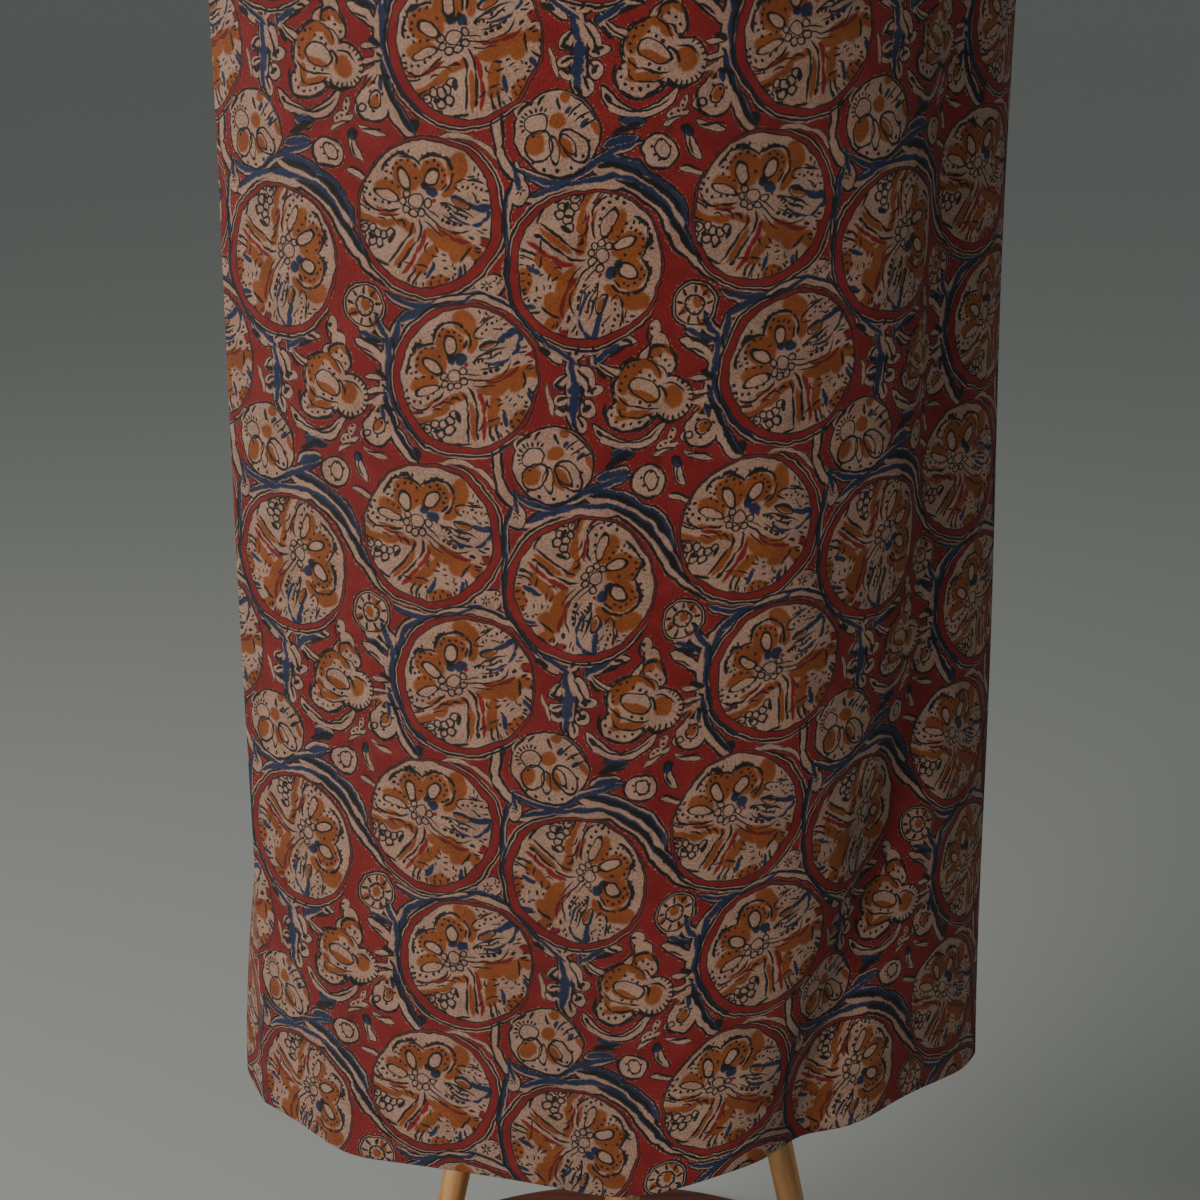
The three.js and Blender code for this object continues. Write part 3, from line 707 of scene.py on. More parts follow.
    cream_edge = 2.6
    strokes = [shape for shape in blue if isinstance(shape, Stroke)]
    under_blue = [replace(stroke, width=stroke.width + cream_edge) for stroke in strokes]
    return Chart(black, blue, ochre, (), resist + under_blue)


# ---------------------------------------------------------------- shader maths


class NodeMaths:
    """Adds maths nodes to one shader tree and hands back their outputs."""

    def __init__(self, tree: bpy.types.NodeTree) -> None:
        """Takes the tree that the nodes go in."""
        self.tree = tree

    def add(self, kind: str, **settings: object) -> bpy.types.Node:
        """Adds a node.

        Args:
            kind: Blender's name for it, such as "ShaderNodeMath".
            settings: its settings by name.

        Returns:
            The node.
        """
        node = self.tree.nodes.new(kind)
        for name, value in settings.items():
            setattr(node, name, value)
        return node

    def feed(self, socket: Socket, value: Value) -> None:
        """Links a socket to another's output, or sets it to a constant.

        Args:
            socket: the socket.
            value: the other's output, or the constant.
        """
        if isinstance(value, Socket):
            self.tree.links.new(value, socket)
        else:
            socket.default_value = value

    def scalar(self, operation: str, *values: Value) -> Socket:
        """Adds a Math node.

        Args:
            operation: Blender's name for it, such as "ADD".
            values: its inputs, each a socket or a number.

        Returns:
            The node's output.
        """
        node = self.add("ShaderNodeMath", operation=operation)
        for socket, value in zip(node.inputs, values):
            self.feed(socket, value)
        return node.outputs[0]

    def vector(self, operation: str, *values: Value) -> Socket:
        """Adds a Vector Math node.

        Args:
            operation: Blender's name for it, such as "MULTIPLY".
            values: its inputs, each a socket or three numbers.

        Returns:
            The node's output, a number for a dot product and otherwise a vector.
        """
        node = self.add("ShaderNodeVectorMath", operation=operation)
        for socket, value in zip(node.inputs, values):
            self.feed(socket, value)
        return node.outputs["Value" if operation == "DOT_PRODUCT" else "Vector"]

    def spread(self, value: Value) -> Socket:
        """Returns a vector with the same number in all three places."""
        return self.combine(value, value, value)

    def combine(self, x: Value, y: Value, z: Value) -> Socket:
        """Returns a vector of three numbers."""
        node = self.add("ShaderNodeCombineXYZ")
        for socket, value in zip(node.inputs, (x, y, z)):
            self.feed(socket, value)
        return node.outputs[0]

    def split(self, vector: Socket) -> list[Socket]:
        """Returns a vector's three numbers."""
        node = self.add("ShaderNodeSeparateXYZ")
        self.feed(node.inputs[0], vector)
        return list(node.outputs)

    def least(self, vector: Socket) -> Socket:
        """Returns the least of a vector's three numbers."""
        x, y, z = self.split(vector)
        return self.scalar("MINIMUM", self.scalar("MINIMUM", x, y), z)

    def ramp(self, value: Value, low: float, high: float, start: float = 0.0, end: float = 1.0) -> Socket:
        """Turns a number into a smooth step.

        Args:
            value: the number.
            low: where the step starts.
            high: where the step ends.
            start: the result up to low.
            end: the result from high on.

        Returns:
            The step's output.
        """
        node = self.add("ShaderNodeMapRange", interpolation_type="SMOOTHSTEP")
        for socket, given in zip(node.inputs, (value, low, high, start, end)):
            self.feed(socket, given)
        return node.outputs[0]

    def noise(self, place: Value, scale: float, detail: float = 2.0) -> bpy.types.Node:
        """Adds a Noise Texture.

        Args:
            place: where it is read.
            scale: how many features it has in one unit.
            detail: how many finer layers it has.

        Returns:
            The node, whose first output is a number and second a colour.
        """
        node = self.add("ShaderNodeTexNoise")
        self.feed(node.inputs["Vector"], place)
        node.inputs["Scale"].default_value = scale
        node.inputs["Detail"].default_value = detail
        return node

    def sway(self, place: Value, scale: float, detail: float = 1.0) -> Socket:
        """Returns a noise vector that wanders about zero, by half at most."""
        return self.vector("SUBTRACT", self.noise(place, scale, detail).outputs[1], (0.5, 0.5, 0.5))

    def bump(self, height: Value, strength: float, distance: float) -> Socket:
        """Adds a Bump node.

        Args:
            height: the relief.
            strength: how much of it shows.
            distance: its depth in metres.

        Returns:
            The bumped normal.
        """
        node = self.add("ShaderNodeBump")
        node.inputs["Strength"].default_value = strength
        node.inputs["Distance"].default_value = distance
        self.feed(node.inputs["Height"], height)
        return node.outputs[0]

    def tinted(self, colour: Value, tint: Value, share: Value, blend: str = "MULTIPLY") -> Socket:
        """Mixes a colour with another.

        Args:
            colour: the colour.
            tint: the other one.
            share: how much of it there is, from 0 to 1.
            blend: Blender's name for the way of mixing.

        Returns:
            The mixed colour.
        """
        node = self.add("ShaderNodeMix", data_type="RGBA", blend_type=blend)
        self.feed(node.inputs[0], share)
        self.feed(node.inputs[6], colour)
        self.feed(node.inputs[7], tint)
        return node.outputs[2]


def fresh_material(name: str) -> tuple[Material, NodeMaths, bpy.types.Node]:
    """Makes a material with nodes.

    Args:
        name: its name.

    Returns:
        The material, the maths of its tree, and its surface shader.
    """
    material = bpy.data.materials.new(name)
    material.use_nodes = True
    tree = material.node_tree
    return material, NodeMaths(tree), tree.nodes["Principled BSDF"]


class DyePrinter:
    """Works out how near a point is to charted shapes: under 1 inside them, and more outside.

    Three shapes are handled at once, one in each place of a vector, which keeps the tree small.
    """

    LANES = 3
    FAR_OFF = 9.0
    STEEP_SIZE = 6.0  # a filled oval larger than this has an edge as crisp as one this size, in millimetres

    def __init__(self, maths: NodeMaths, x: Value, y: Value) -> None:
        """Takes the point, in the chart's millimetres."""
        self.maths = maths
        self.x = maths.spread(x)
        self.y = maths.spread(y)

    def _place(self, factors: Sequence[Sequence[float]]) -> Socket:
        """Returns one own coordinate of three shapes, from each one's (x, y, 1) factors."""
        a, b, c = zip(*factors)
        return self.maths.vector("MULTIPLY_ADD", self.x, a, self.maths.vector("MULTIPLY_ADD", self.y, b, c))

    def _strokes(self, three: Sequence[Stroke]) -> Socket:
        """Measures the nearness to three strokes: half widths to the side, plus a term that ends them.

        Args:
            three: the strokes.

        Returns:
            The nearness to each.
        """
        along, beside, bends = zip(*(stroke.across() for stroke in three))
        u = self._place(along)
        square = self.maths.vector("MULTIPLY", u, u)
        side = self.maths.vector("MULTIPLY_ADD", square, bends, self._place(beside))
        return self.maths.vector("MULTIPLY_ADD", square, square, self.maths.vector("ABSOLUTE", side))

    def _ovals(self, three: Sequence[Oval]) -> Socket:
        """Measures the nearness to three ellipses, or to their outlines if they have a width.

        Args:
            three: the ellipses, which are all filled or all outlines.

        Returns:
            The nearness to each.
        """
        first, second = zip(*(oval.axes() for oval in three))
        u, v = self._place(first), self._place(second)
        square = self.maths.vector("MULTIPLY_ADD", u, u, self.maths.vector("MULTIPLY", v, v))
        if not three[0].width:
            steep = [max(1.0, (oval.rx + oval.ry) / (2 * self.STEEP_SIZE)) for oval in three]
            return self.maths.vector("MULTIPLY_ADD", square, steep, [1 - value for value in steep])
        sharp = [(oval.rx + oval.ry) / (2 * oval.width) for oval in three]
        rim = self.maths.vector("MULTIPLY_ADD", square, sharp, [-value for value in sharp])
        return self.maths.vector("ABSOLUTE", rim)

    def near(self, shapes: Sequence[Shape]) -> Value:
        """Measures the nearness to the nearest of many shapes.

        Args:
            shapes: the shapes.

        Returns:
            The nearness, which is far off if there are no shapes.
        """
        if not shapes:
            return self.FAR_OFF
        kinds: list[tuple[Callable[[Sequence[Shape]], Socket], list[Shape]]] = [
            (self._strokes, [s for s in shapes if isinstance(s, Stroke)]),
            (self._ovals, [s for s in shapes if isinstance(s, Oval) and s.width]),
            (self._ovals, [s for s in shapes if isinstance(s, Oval) and not s.width]),
        ]
        nearest = None
        for measure, members in kinds:
            for start in range(0, len(members), self.LANES):
                three = members[start:start + self.LANES]
                three += [three[-1]] * (self.LANES - len(three))
                found = measure(three)
                nearest = self.maths.vector("MINIMUM", nearest, found) if nearest else found
        return self.maths.least(nearest)


# ---------------------------------------------------------------- finishes


def linear(red: int, green: int, blue: int) -> Colour:
    """Turns a display colour, 0 to 255, into the linear one that shaders use."""
    return tuple(((c / 255 + 0.055) / 1.055) ** 2.4 for c in (red, green, blue))


class Dye(Enum):
    """The cloth's own colour and the four that are printed on it."""

    CREAM = linear(222, 178, 154)
    RED = linear(170, 6, 4)
    OCHRE = linear(184, 94, 12)
    INDIGO = linear(22, 50, 100)
    BLACK = linear(10, 9, 14)

    def tint(self) -> tuple[float, float, float, float]:
        """Returns what this dye lets through of the cloth's own colour."""
        return tuple(dye / cloth for dye, cloth in zip(self.value, Dye.CREAM.value)) + (1.0,)


@dataclass(frozen=True)
class Inks:
    """How much of each dye lies at a place, from 0 to 1."""

    red: Value
    ochre: Value
    blue: Value
    black: Value


@dataclass(frozen=True)
class Ground:
    """What every part of the print shares: its unevenness, the bare cotton's colour, and the weave."""

    rough: Socket
    strong: Socket
    cotton: Socket
    relief: Socket
    misfits: Sequence[Value]


@dataclass(frozen=True)
class KalamkariPrint:
    """The block-printed cotton. Lengths are in millimetres of flat cloth, and angles in degrees.

    tile is one repeat of the blocks, and start is where the chart's own middle lies. turns and crescents
    give, for each medallion of a repeat, the turn of its chart and the side where its ring swells. line_gap
    and line_half place the black line round a ring, and ring_line_gap and ring_line_half the one on its edge.
    field_gap is the most cream that is left between a ring and the red field. warp, shake and misfit say how
    far the blocks, their lines and their dyes wander, each with its own scale.
    """

    map_name: str = "flat"
    tile: Place = (170.0, 163.0)
    start: Place = (-81.0, 543.0)
    skew: float = 0.021
    centres: tuple[Place, ...] = ((0.5, -1.0), (23.0, -82.0), (84.0, -26.0))
    turns: tuple[float, ...] = (-40.0, 0.0, -130.0)
    crescents: tuple[float, ...] = (-40.0, 205.0, 215.0)
    rim_radius: float = 36.2
    ring_radius: float = 38.7
    crescent_swell: float = 1.9
    line_gap: float = 1.6
    line_half: float = 0.6
    field_gap: float = 2.9
    border: float = 0.4
    ink_edge: Place = (0.88, 1.16)
    resist_edge: float = 0.3
    ring_line_gap: float = 0.1
    ring_line_half: float = 0.4
    rim_edge: Place = (-0.2, 0.6)
    outline_near: float = 0.9
    outline_half: float = 0.17
    grain_scale: float = 0.9
    patch_scale: float = 0.06
    warp: float = 2.4
    warp_scale: float = 0.045
    shake: float = 1.3
    shake_scale: float = 0.17
    misfit: float = 2.6
    misfit_scale: float = 0.012
    stain: Colour = (0.58, 0.50, 0.45)
    yarn_pitch: float = 1.15
    relief_depth: float = 0.0018
    roughness: float = 0.86
    specular: float = 0.25
    sheen: float = 0.12
    sheen_roughness: float = 0.5

    def material(self) -> Material:
        """Builds the print.

        Returns:
            The material, in which each quarter of the medallion and of the field has a shader of its own.
        """
        material, maths, surface = fresh_material("printed_cotton")
        tree = material.node_tree
        output = tree.nodes["Material Output"]
        tree.nodes.remove(surface)
        flat = maths.add("ShaderNodeUVMap", uv_map=self.map_name).outputs[0]
        place = maths.vector("MULTIPLY", flat, [MILLIMETRES] * 3)
        grain = maths.noise(place, self.grain_scale, 1.0).outputs[0]
        x, y = self._wobbled(maths, place)
        ground = self._ground(maths, place, grain)
        radius, lean, local = self._nearest_medallion(maths, x, y)
        outer = maths.scalar("MULTIPLY_ADD", lean, self.crescent_swell, self.ring_radius)
        past = maths.scalar("SUBTRACT", radius, outer)
        within = self._medallion(maths, ground, radius, past, local)
        beyond = self._field(maths, ground, past, lean, x, y)
        chosen = self._either(maths, maths.scalar("GREATER_THAN", past, self.border), within, beyond)
        maths.feed(output.inputs["Surface"], chosen)
        return material

    @staticmethod
    def _either(maths: NodeMaths, second: Value, near: Value, far: Value) -> Socket:
        """Chooses one of two shaders.

        Args:
            maths: the tree.
            second: 0 where the near one shows, and 1 where the far one does.
            near: the one shader.
            far: the other.

        Returns:
            The chosen shader.
        """
        node = maths.add("ShaderNodeMixShader")
        for socket, value in zip(node.inputs, (second, near, far)):
            maths.feed(socket, value)
        return node.outputs[0]

    def _quartered(self, maths: NodeMaths, right: Value, top: Value, quarters: Sequence[Value]) -> Socket:
        """Chooses one of four shaders.

        Args:
            maths: the tree.
            right: 1 on the right-hand side, and 0 on the left.
            top: 1 in the upper half, and 0 in the lower.
            quarters: the shaders, in the order of QUARTERS.

        Returns:
            The chosen shader.
        """
        below = self._either(maths, right, *quarters[:2])
        return self._either(maths, top, below, self._either(maths, right, *quarters[2:]))

    def _wobbled(self, maths: NodeMaths, place: Value) -> tuple[Value, Value]:
        """Gives the print the unevenness of blocks set down by hand.

        Args:
            maths: the tree.
            place: the place on the flat cloth.

        Returns:
            The print's two coordinates there.
        """
        wobble = maths.sway(place, self.warp_scale)
        shake = maths.sway(place, self.shake_scale, 2.0)
        moved = maths.vector("MULTIPLY_ADD", wobble, [2 * self.warp] * 3, place)
        moved = maths.vector("MULTIPLY_ADD", shake, [2 * self.shake] * 3, moved)
        across, up, _ = maths.split(maths.vector("SUBTRACT", moved, (*self.start, 0.0)))
        x = maths.scalar("MULTIPLY_ADD", up, -self.skew, across)
        return x, maths.scalar("MULTIPLY_ADD", across, -self.skew, up)

    def _ground(self, maths: NodeMaths, place: Value, grain: Value) -> Ground:
        """Prepares the cotton: its stains, its weave, and how far each block's dye is off its place.

        Args:
            maths: the tree.
            place: the place on the flat cloth.
            grain: the fine noise of the yarns there.

        Returns:
            What every part of the print shares.
        """
        drift = maths.sway(place, self.misfit_scale)
        a, b, c = maths.split(maths.vector("MULTIPLY", drift, [2 * self.misfit] * 3))
        patch = maths.noise(place, self.patch_scale, 2.0).outputs[0]
        mixed = maths.scalar("MULTIPLY_ADD", grain, 0.6, patch)
        stained = maths.ramp(maths.scalar("MULTIPLY_ADD", grain, 2.0, patch), 1.1, 2.0)
        cotton = maths.tinted((*Dye.CREAM.value, 1.0), (*self.stain, 1.0), stained)
        return Ground(
            rough=maths.scalar("MULTIPLY_ADD", grain, 1.5, -0.75),
            strong=maths.ramp(mixed, 0.45, 0.9, 0.95, 1.0),
            cotton=cotton,
            relief=self._weave(maths, place, grain),
            misfits=(a, b, c),
        )

    def _nearest_medallion(self, maths: NodeMaths, x: Value, y: Value) -> tuple[Value, Value, list[Value]]:
        """Finds the place about the nearest medallion.

        Args:
            maths: the tree.
            x: the print's coordinate across.
            y: the print's coordinate along.

        Returns:
            The distance from its middle, how far the place leans to the side where its ring swells, which is
            1 on the ring there and -1 opposite, and the two coordinates in the medallion's own turned chart.
        """
        xs, ys = zip(*self.centres)
        wide, high = (size / 2 for size in self.tile)
        across = maths.vector("WRAP", maths.spread(x), [v + wide for v in xs], [v - wide for v in xs])
        up = maths.vector("WRAP", maths.spread(y), [v + high for v in ys], [v - high for v in ys])
        across = maths.vector("SUBTRACT", across, xs)
        up = maths.vector("SUBTRACT", up, ys)
        square = maths.vector("MULTIPLY_ADD", across, across, maths.vector("MULTIPLY", up, up))
        least = maths.least(square)
        gap = maths.vector("SUBTRACT", maths.spread(least), square)
        steepness = 1000.0  # makes the nearest one's share 1, and those of the others 0
        share = maths.vector("MULTIPLY_ADD", gap, [steepness] * 3, [1.0] * 3)
        chosen = maths.vector("MAXIMUM", share, [0.0] * 3)

        def turned(angles: Sequence[float], size: float = 1.0) -> Socket:
            """Returns how far the place lies along an angle that each medallion has of its own."""
            cosines = [math.cos(math.radians(turn)) / size for turn in angles]
            sines = [math.sin(math.radians(turn)) / size for turn in angles]
            own = maths.vector("MULTIPLY_ADD", across, cosines, maths.vector("MULTIPLY", up, sines))
            return maths.vector("DOT_PRODUCT", own, chosen)

        local = [turned(self.turns), turned([turn + 90 for turn in self.turns])]
        return maths.scalar("SQRT", least), turned(self.crescents, self.ring_radius), local

    def _inks(
        self, maths: NodeMaths, ground: Ground, chart: Chart, x: Value, y: Value
    ) -> tuple[Inks, Socket]:
        """Prints a chart at a place, in a node group of its own.

        Args:
            maths: the tree that the group goes in.
            ground: what every part of the print shares.
            chart: the chart.
            x: the place across the chart.
            y: the place along it.

        Returns:
            The four dyes, and the nearness to what the resist keeps free.
        """
        group = bpy.data.node_groups.new("printed_window", "ShaderNodeTree")
        for name in ("x", "y", "rough", "a", "b", "c"):
            group.interface.new_socket(name, in_out="INPUT", socket_type="NodeSocketFloat")
        for name in ("black", "blue", "ochre", "red", "free"):
            group.interface.new_socket(name, in_out="OUTPUT", socket_type="NodeSocketFloat")
        inner = NodeMaths(group)
        own_x, own_y, rough, a, b, c = inner.add("NodeGroupInput").outputs[:6]
        results = inner.add("NodeGroupOutput").inputs
        shifts = ((0.0, 0.0), (a, b), (b, c), (c, a))
        dyed = (chart.black, chart.blue, chart.ochre, chart.red)
        for result, (off_x, off_y), shapes in zip(results, shifts, dyed):
            printer = DyePrinter(inner, inner.scalar("ADD", own_x, off_x), inner.scalar("ADD", own_y, off_y))
            inner.feed(result, self._inked(inner, printer.near(shapes), rough))
        inner.feed(results["free"], DyePrinter(inner, own_x, own_y).near(chart.resist))
        node = maths.add("ShaderNodeGroup", node_tree=group)
        for socket, value in zip(node.inputs, (x, y, ground.rough, *ground.misfits)):
            maths.feed(socket, value)
        black, blue, ochre, red, free = node.outputs[:5]
        return Inks(red, ochre, blue, black), free

    def _inked(self, maths: NodeMaths, near: Value, rough: Value) -> Socket:
        """Turns nearness into dye, with an edge that the weave makes uneven."""
        return maths.ramp(maths.scalar("ADD", near, rough), *self.ink_edge, 1.0, 0.0)

    def _band(self, maths: NodeMaths, gap: Value, middle: Value, half: float, rough: Value) -> Socket:
        """Draws a line.

        Args:
            maths: the tree.
            gap: what is measured.
            middle: where the line runs.
            half: how far it reaches to each side.
            rough: the unevenness of its edges.

        Returns:
            The line's dye.
        """
        off = maths.scalar("ABSOLUTE", maths.scalar("SUBTRACT", gap, middle))
        return self._inked(maths, maths.scalar("MULTIPLY", off, 1 / half), rough)

    def _medallion(
        self, maths: NodeMaths, ground: Ground, radius: Value, past: Value, local: Sequence[Value]
    ) -> Socket:
        """Prints the medallion's chart inside its rim, and the swelling red ring round it.

        Args:
            maths: the tree.
            ground: what every part of the print shares.
            radius: the distance from the medallion's middle.
            past: the distance past the ring, less than zero inside it.
            local: the place in the medallion's own chart.

        Returns:
            The medallion's shader.
        """
        chart, half = medallion_chart(), self.rim_radius / 2
        off = maths.scalar("MAXIMUM", maths.scalar("SUBTRACT", self.rim_radius, radius), past)
        ring = maths.scalar("ADD", off, ground.rough)
        ring = maths.ramp(ring, -self.resist_edge, self.resist_edge, 1.0, 0.0)
        edge = self._band(maths, past, self.ring_line_gap, self.ring_line_half, ground.rough)
        disc = maths.ramp(radius, *(self.rim_radius + blur for blur in self.rim_edge), 1.0, 0.0)
        quarters = []
        for side_x, side_y in QUARTERS:
            window = Window(side_x * half, side_y * half, half, half)
            inks, near = self._inks(maths, ground, chart.within(window), *local)
            kept = maths.scalar("SUBTRACT", 1.0, self._inked(maths, near, ground.rough))
            inks = Inks(
                red=maths.scalar("MAXIMUM", maths.scalar("MULTIPLY", inks.red, disc), ring),
                ochre=maths.scalar("MULTIPLY", maths.scalar("MULTIPLY", inks.ochre, kept), disc),
                blue=maths.scalar("MULTIPLY", inks.blue, disc),
                black=maths.scalar("MAXIMUM", maths.scalar("MULTIPLY", inks.black, disc), edge),
            )
            quarters.append(self._printed(maths, ground, inks))
        right, top = (maths.scalar("GREATER_THAN", value, 0.0) for value in local)
        return self._quartered(maths, right, top, quarters)

    def _field(
        self, maths: NodeMaths, ground: Ground, past: Value, lean: Value, x: Value, y: Value
    ) -> Socket:
        """Prints the red field between the medallions, with what its chart keeps free of red.

        Args:
            maths: the tree.
            ground: what every part of the print shares.
            past: the distance past the nearest ring.
            lean: how far the place leans to the side where that ring swells.
            x: the print's coordinate across.
            y: the print's coordinate along.

        Returns:
            The field's shader.
        """
        chart = field_chart()
        wide, high = (size / 4 for size in self.tile)
        line = self._band(maths, past, self.line_gap, self.line_half, ground.rough)
        line = maths.scalar("MULTIPLY", line, maths.ramp(lean, -0.45, -0.2))
        vine = maths.ramp(lean, -0.5, 0.3, 0.3, self.field_gap)
        uneven = maths.scalar("SUBTRACT", maths.scalar("ADD", past, ground.rough), vine)
        open_field = maths.ramp(uneven, -self.resist_edge, self.resist_edge)
        quarters = []
        for side_x, side_y in QUARTERS:
            window = Window(side_x * wide, side_y * high, wide, high)
            around = [
                maths.scalar("WRAP", value, middle + 2 * half, middle - 2 * half)
                for value, middle, half in zip((x, y), (window.x, window.y), (wide, high))
            ]
            inks, near = self._inks(maths, ground, chart.within(window, self.tile), *around)
            kept = maths.scalar("SUBTRACT", 1.0, self._inked(maths, near, ground.rough))
            edge = self._band(maths, near, self.outline_near, self.outline_half, ground.rough)
            edge = maths.scalar("MULTIPLY", edge, open_field)
            inks = Inks(
                red=maths.scalar("MULTIPLY", kept, open_field),
                ochre=inks.ochre,
                blue=inks.blue,
                black=maths.scalar("MAXIMUM", maths.scalar("MAXIMUM", inks.black, line), edge),
            )
            quarters.append(self._printed(maths, ground, inks))
        right, top = (
            maths.scalar("GREATER_THAN", maths.scalar("WRAP", value, half * 2, -half * 2), 0.0)
            for value, half in zip((x, y), (wide, high))
        )
        return self._quartered(maths, right, top, quarters)

    def _printed(self, maths: NodeMaths, ground: Ground, inks: Inks) -> Socket:
        """Lays the dyes over the cotton one after another, as light passes each of them.

        Args:
            maths: the tree.
            ground: what every part of the print shares.
            inks: how much there is of each dye.

        Returns:
            The shader of the printed cotton.
        """
        colour = ground.cotton
        dyes = (Dye.RED, Dye.OCHRE, Dye.INDIGO, Dye.BLACK)
        for dye, amount in zip(dyes, (inks.red, inks.ochre, inks.blue, inks.black)):
            colour = maths.tinted(colour, dye.tint(), maths.scalar("MULTIPLY", amount, ground.strong))
        surface = maths.add("ShaderNodeBsdfPrincipled")
        maths.feed(surface.inputs["Base Color"], colour)
        maths.feed(surface.inputs["Normal"], ground.relief)
        surface.inputs["Roughness"].default_value = self.roughness
        surface.inputs["Specular IOR Level"].default_value = self.specular
        surface.inputs["Sheen Weight"].default_value = self.sheen
        surface.inputs["Sheen Roughness"].default_value = self.sheen_roughness
        return surface.outputs[0]

    def _weave(self, maths: NodeMaths, place: Value, grain: Value) -> Socket:
        """Works out the pebbled relief of plain hand-spun cotton: crossed yarns, no two quite alike.

        Args:
            maths: the tree.
            place: the place on the flat cloth.
            grain: the fine noise of the yarns there.

        Returns:
            The bumped normal.
        """
        turn = 2 * math.pi / self.yarn_pitch
        bent = maths.vector("MULTIPLY_ADD", maths.spread(grain), (0.5, 0.5, 0.0), place)
        yarns = maths.vector("SINE", maths.vector("MULTIPLY", bent, (turn, turn, 0.0)))
        warp, weft, _ = maths.split(yarns)
        height = maths.scalar("MULTIPLY_ADD", maths.scalar("MULTIPLY", warp, weft), 0.35, grain)
        return maths.bump(height, 1.0, self.relief_depth)


@dataclass(frozen=True)
class Wood:
    """A plain finished wood, its grain along the second coordinate of the piece's own map."""

    name: str
    light: Colour
    dark: Colour
    roughness: float
    band_scale: Point = (90.0, 5.0, 1.0)
    pore_scale: Point = (900.0, 40.0, 1.0)
    gloss_spread: float = 0.18
    pore_depth: float = 0.0003

    def material(self) -> Material:
        """Builds the wood from stretched noise, with finer pores and a little unevenness in its gloss.

        Returns:
            The material.
        """
        material, maths, surface = fresh_material(self.name)
        grain = maths.add("ShaderNodeUVMap", uv_map="grain").outputs[0]
        bands = maths.noise(maths.vector("MULTIPLY", grain, self.band_scale), 1.0, 4.0).outputs[0]
        pores = maths.noise(maths.vector("MULTIPLY", grain, self.pore_scale), 1.0, 2.0).outputs[0]
        share = maths.ramp(maths.scalar("MULTIPLY_ADD", pores, 0.35, bands), 0.45, 0.9)
        colour = maths.tinted((*self.light, 1.0), (*self.dark, 1.0), share, "MIX")
        maths.feed(surface.inputs["Base Color"], colour)
        least = self.roughness - self.gloss_spread / 2
        rough = maths.scalar("MULTIPLY_ADD", pores, self.gloss_spread, least)
        maths.feed(surface.inputs["Roughness"], rough)
        maths.feed(surface.inputs["Normal"], maths.bump(pores, 0.25, self.pore_depth))
        return material


PALE_WOOD = Wood("pale_wood", linear(206, 158, 104), linear(160, 108, 62), 0.5)
DARK_WOOD = Wood("dark_wood", linear(104, 48, 30), linear(58, 24, 16), 0.42)


# ---------------------------------------------------------------- meshes


def smoothstep(low: float, high: float, value: np.ndarray) -> np.ndarray:
    """Works out a smooth step, three times the square of the share of the way less twice its cube.

    Args:
        low: where the step starts.
        high: where it ends.
        value: the numbers to be stepped.

    Returns:
        0 up to low, 1 from high on, and the step between them.
    """
    share = np.clip((value - low) / (high - low), 0.0, 1.0)
    return share * share * (3 - 2 * share)


def joined(*coordinates: Union[np.ndarray, float]) -> np.ndarray:
    """Returns points from their coordinates, of which some may be the same for a whole row or for all."""
    return np.stack(np.broadcast_arrays(*coordinates), axis=-1)


def grid_faces(rows: int, columns: int, closed: bool) -> np.ndarray:
    """Works out the faces of a grid of points.

    Args:
        rows: how many rows it has.
        columns: how many points each row has.
        closed: whether the last column joins the first.

    Returns:
        The four corner numbers of each face.
    """
    row = np.arange(rows - 1)[:, None] * columns
    column = np.arange(columns if closed else columns - 1)[None, :]
    after = (column + 1) % columns
    above = row + columns
    return joined(row + column, row + after, above + after, above + column).reshape(-1, 4)


def mesh_piece(
    name: str, points: np.ndarray, faces: Sequence[Sequence[int]], maps: dict[str, np.ndarray],
    material: Material,
) -> Piece:
    """Makes a smooth-shaded object from points, faces and a map coordinate for each point.

    Args:
        name: the piece's name.
        points: its points in metres, one in each row.
        faces: the point numbers of each face.
        maps: for each map's name, two coordinates for each point.
        material: its finish.

    Returns:
        The new object, at the origin.
    """
    mesh = bpy.data.meshes.new(name)
    mesh.from_pydata(points.tolist(), [], [list(map(int, face)) for face in faces])
    corners = np.empty(len(mesh.loops), dtype=np.int32)
    mesh.loops.foreach_get("vertex_index", corners)
    for map_name, places in maps.items():
        layer = mesh.uv_layers.new(name=map_name)
        layer.data.foreach_set("uv", places[corners].astype(np.float32).ravel())
    mesh.polygons.foreach_set("use_smooth", np.ones(len(mesh.polygons), dtype=bool))
    mesh.materials.append(material)
    mesh.update()
    piece = bpy.data.objects.new(name, mesh)
    bpy.context.collection.objects.link(piece)
    return piece


def lofted(
    name: str, rings: np.ndarray, material: Material, grain: Union[np.ndarray, None] = None
) -> Piece:
    """Makes a closed round piece through rings of points, with a flat face over each end.

    Args:
        name: the piece's name.
        rings: an array of rings, each of points that run counter-clockwise as seen from the last ring.
        material: its finish.
        grain: its map, if the grain runs otherwise than from ring to ring.

    Returns:
        The new object.
    """
    count, sides, _ = rings.shape
    faces = [list(face) for face in grid_faces(count, sides, closed=True)]
    faces.append(list(range(sides))[::-1])
    faces.append(list(range((count - 1) * sides, count * sides)))
    if grain is None:
        middles = rings.mean(axis=1)
        along = np.concatenate([[0.0], np.cumsum(np.linalg.norm(np.diff(middles, axis=0), axis=1))])
        width = np.linalg.norm(rings - middles[:, None], axis=2).max()
        turn = np.linspace(0, 2 * np.pi, sides, endpoint=False)
        grain = joined(width * np.abs(turn - np.pi), along[:, None])
    return mesh_piece(name, rings.reshape(-1, 3), faces, {"grain": grain.reshape(-1, 2)}, material)


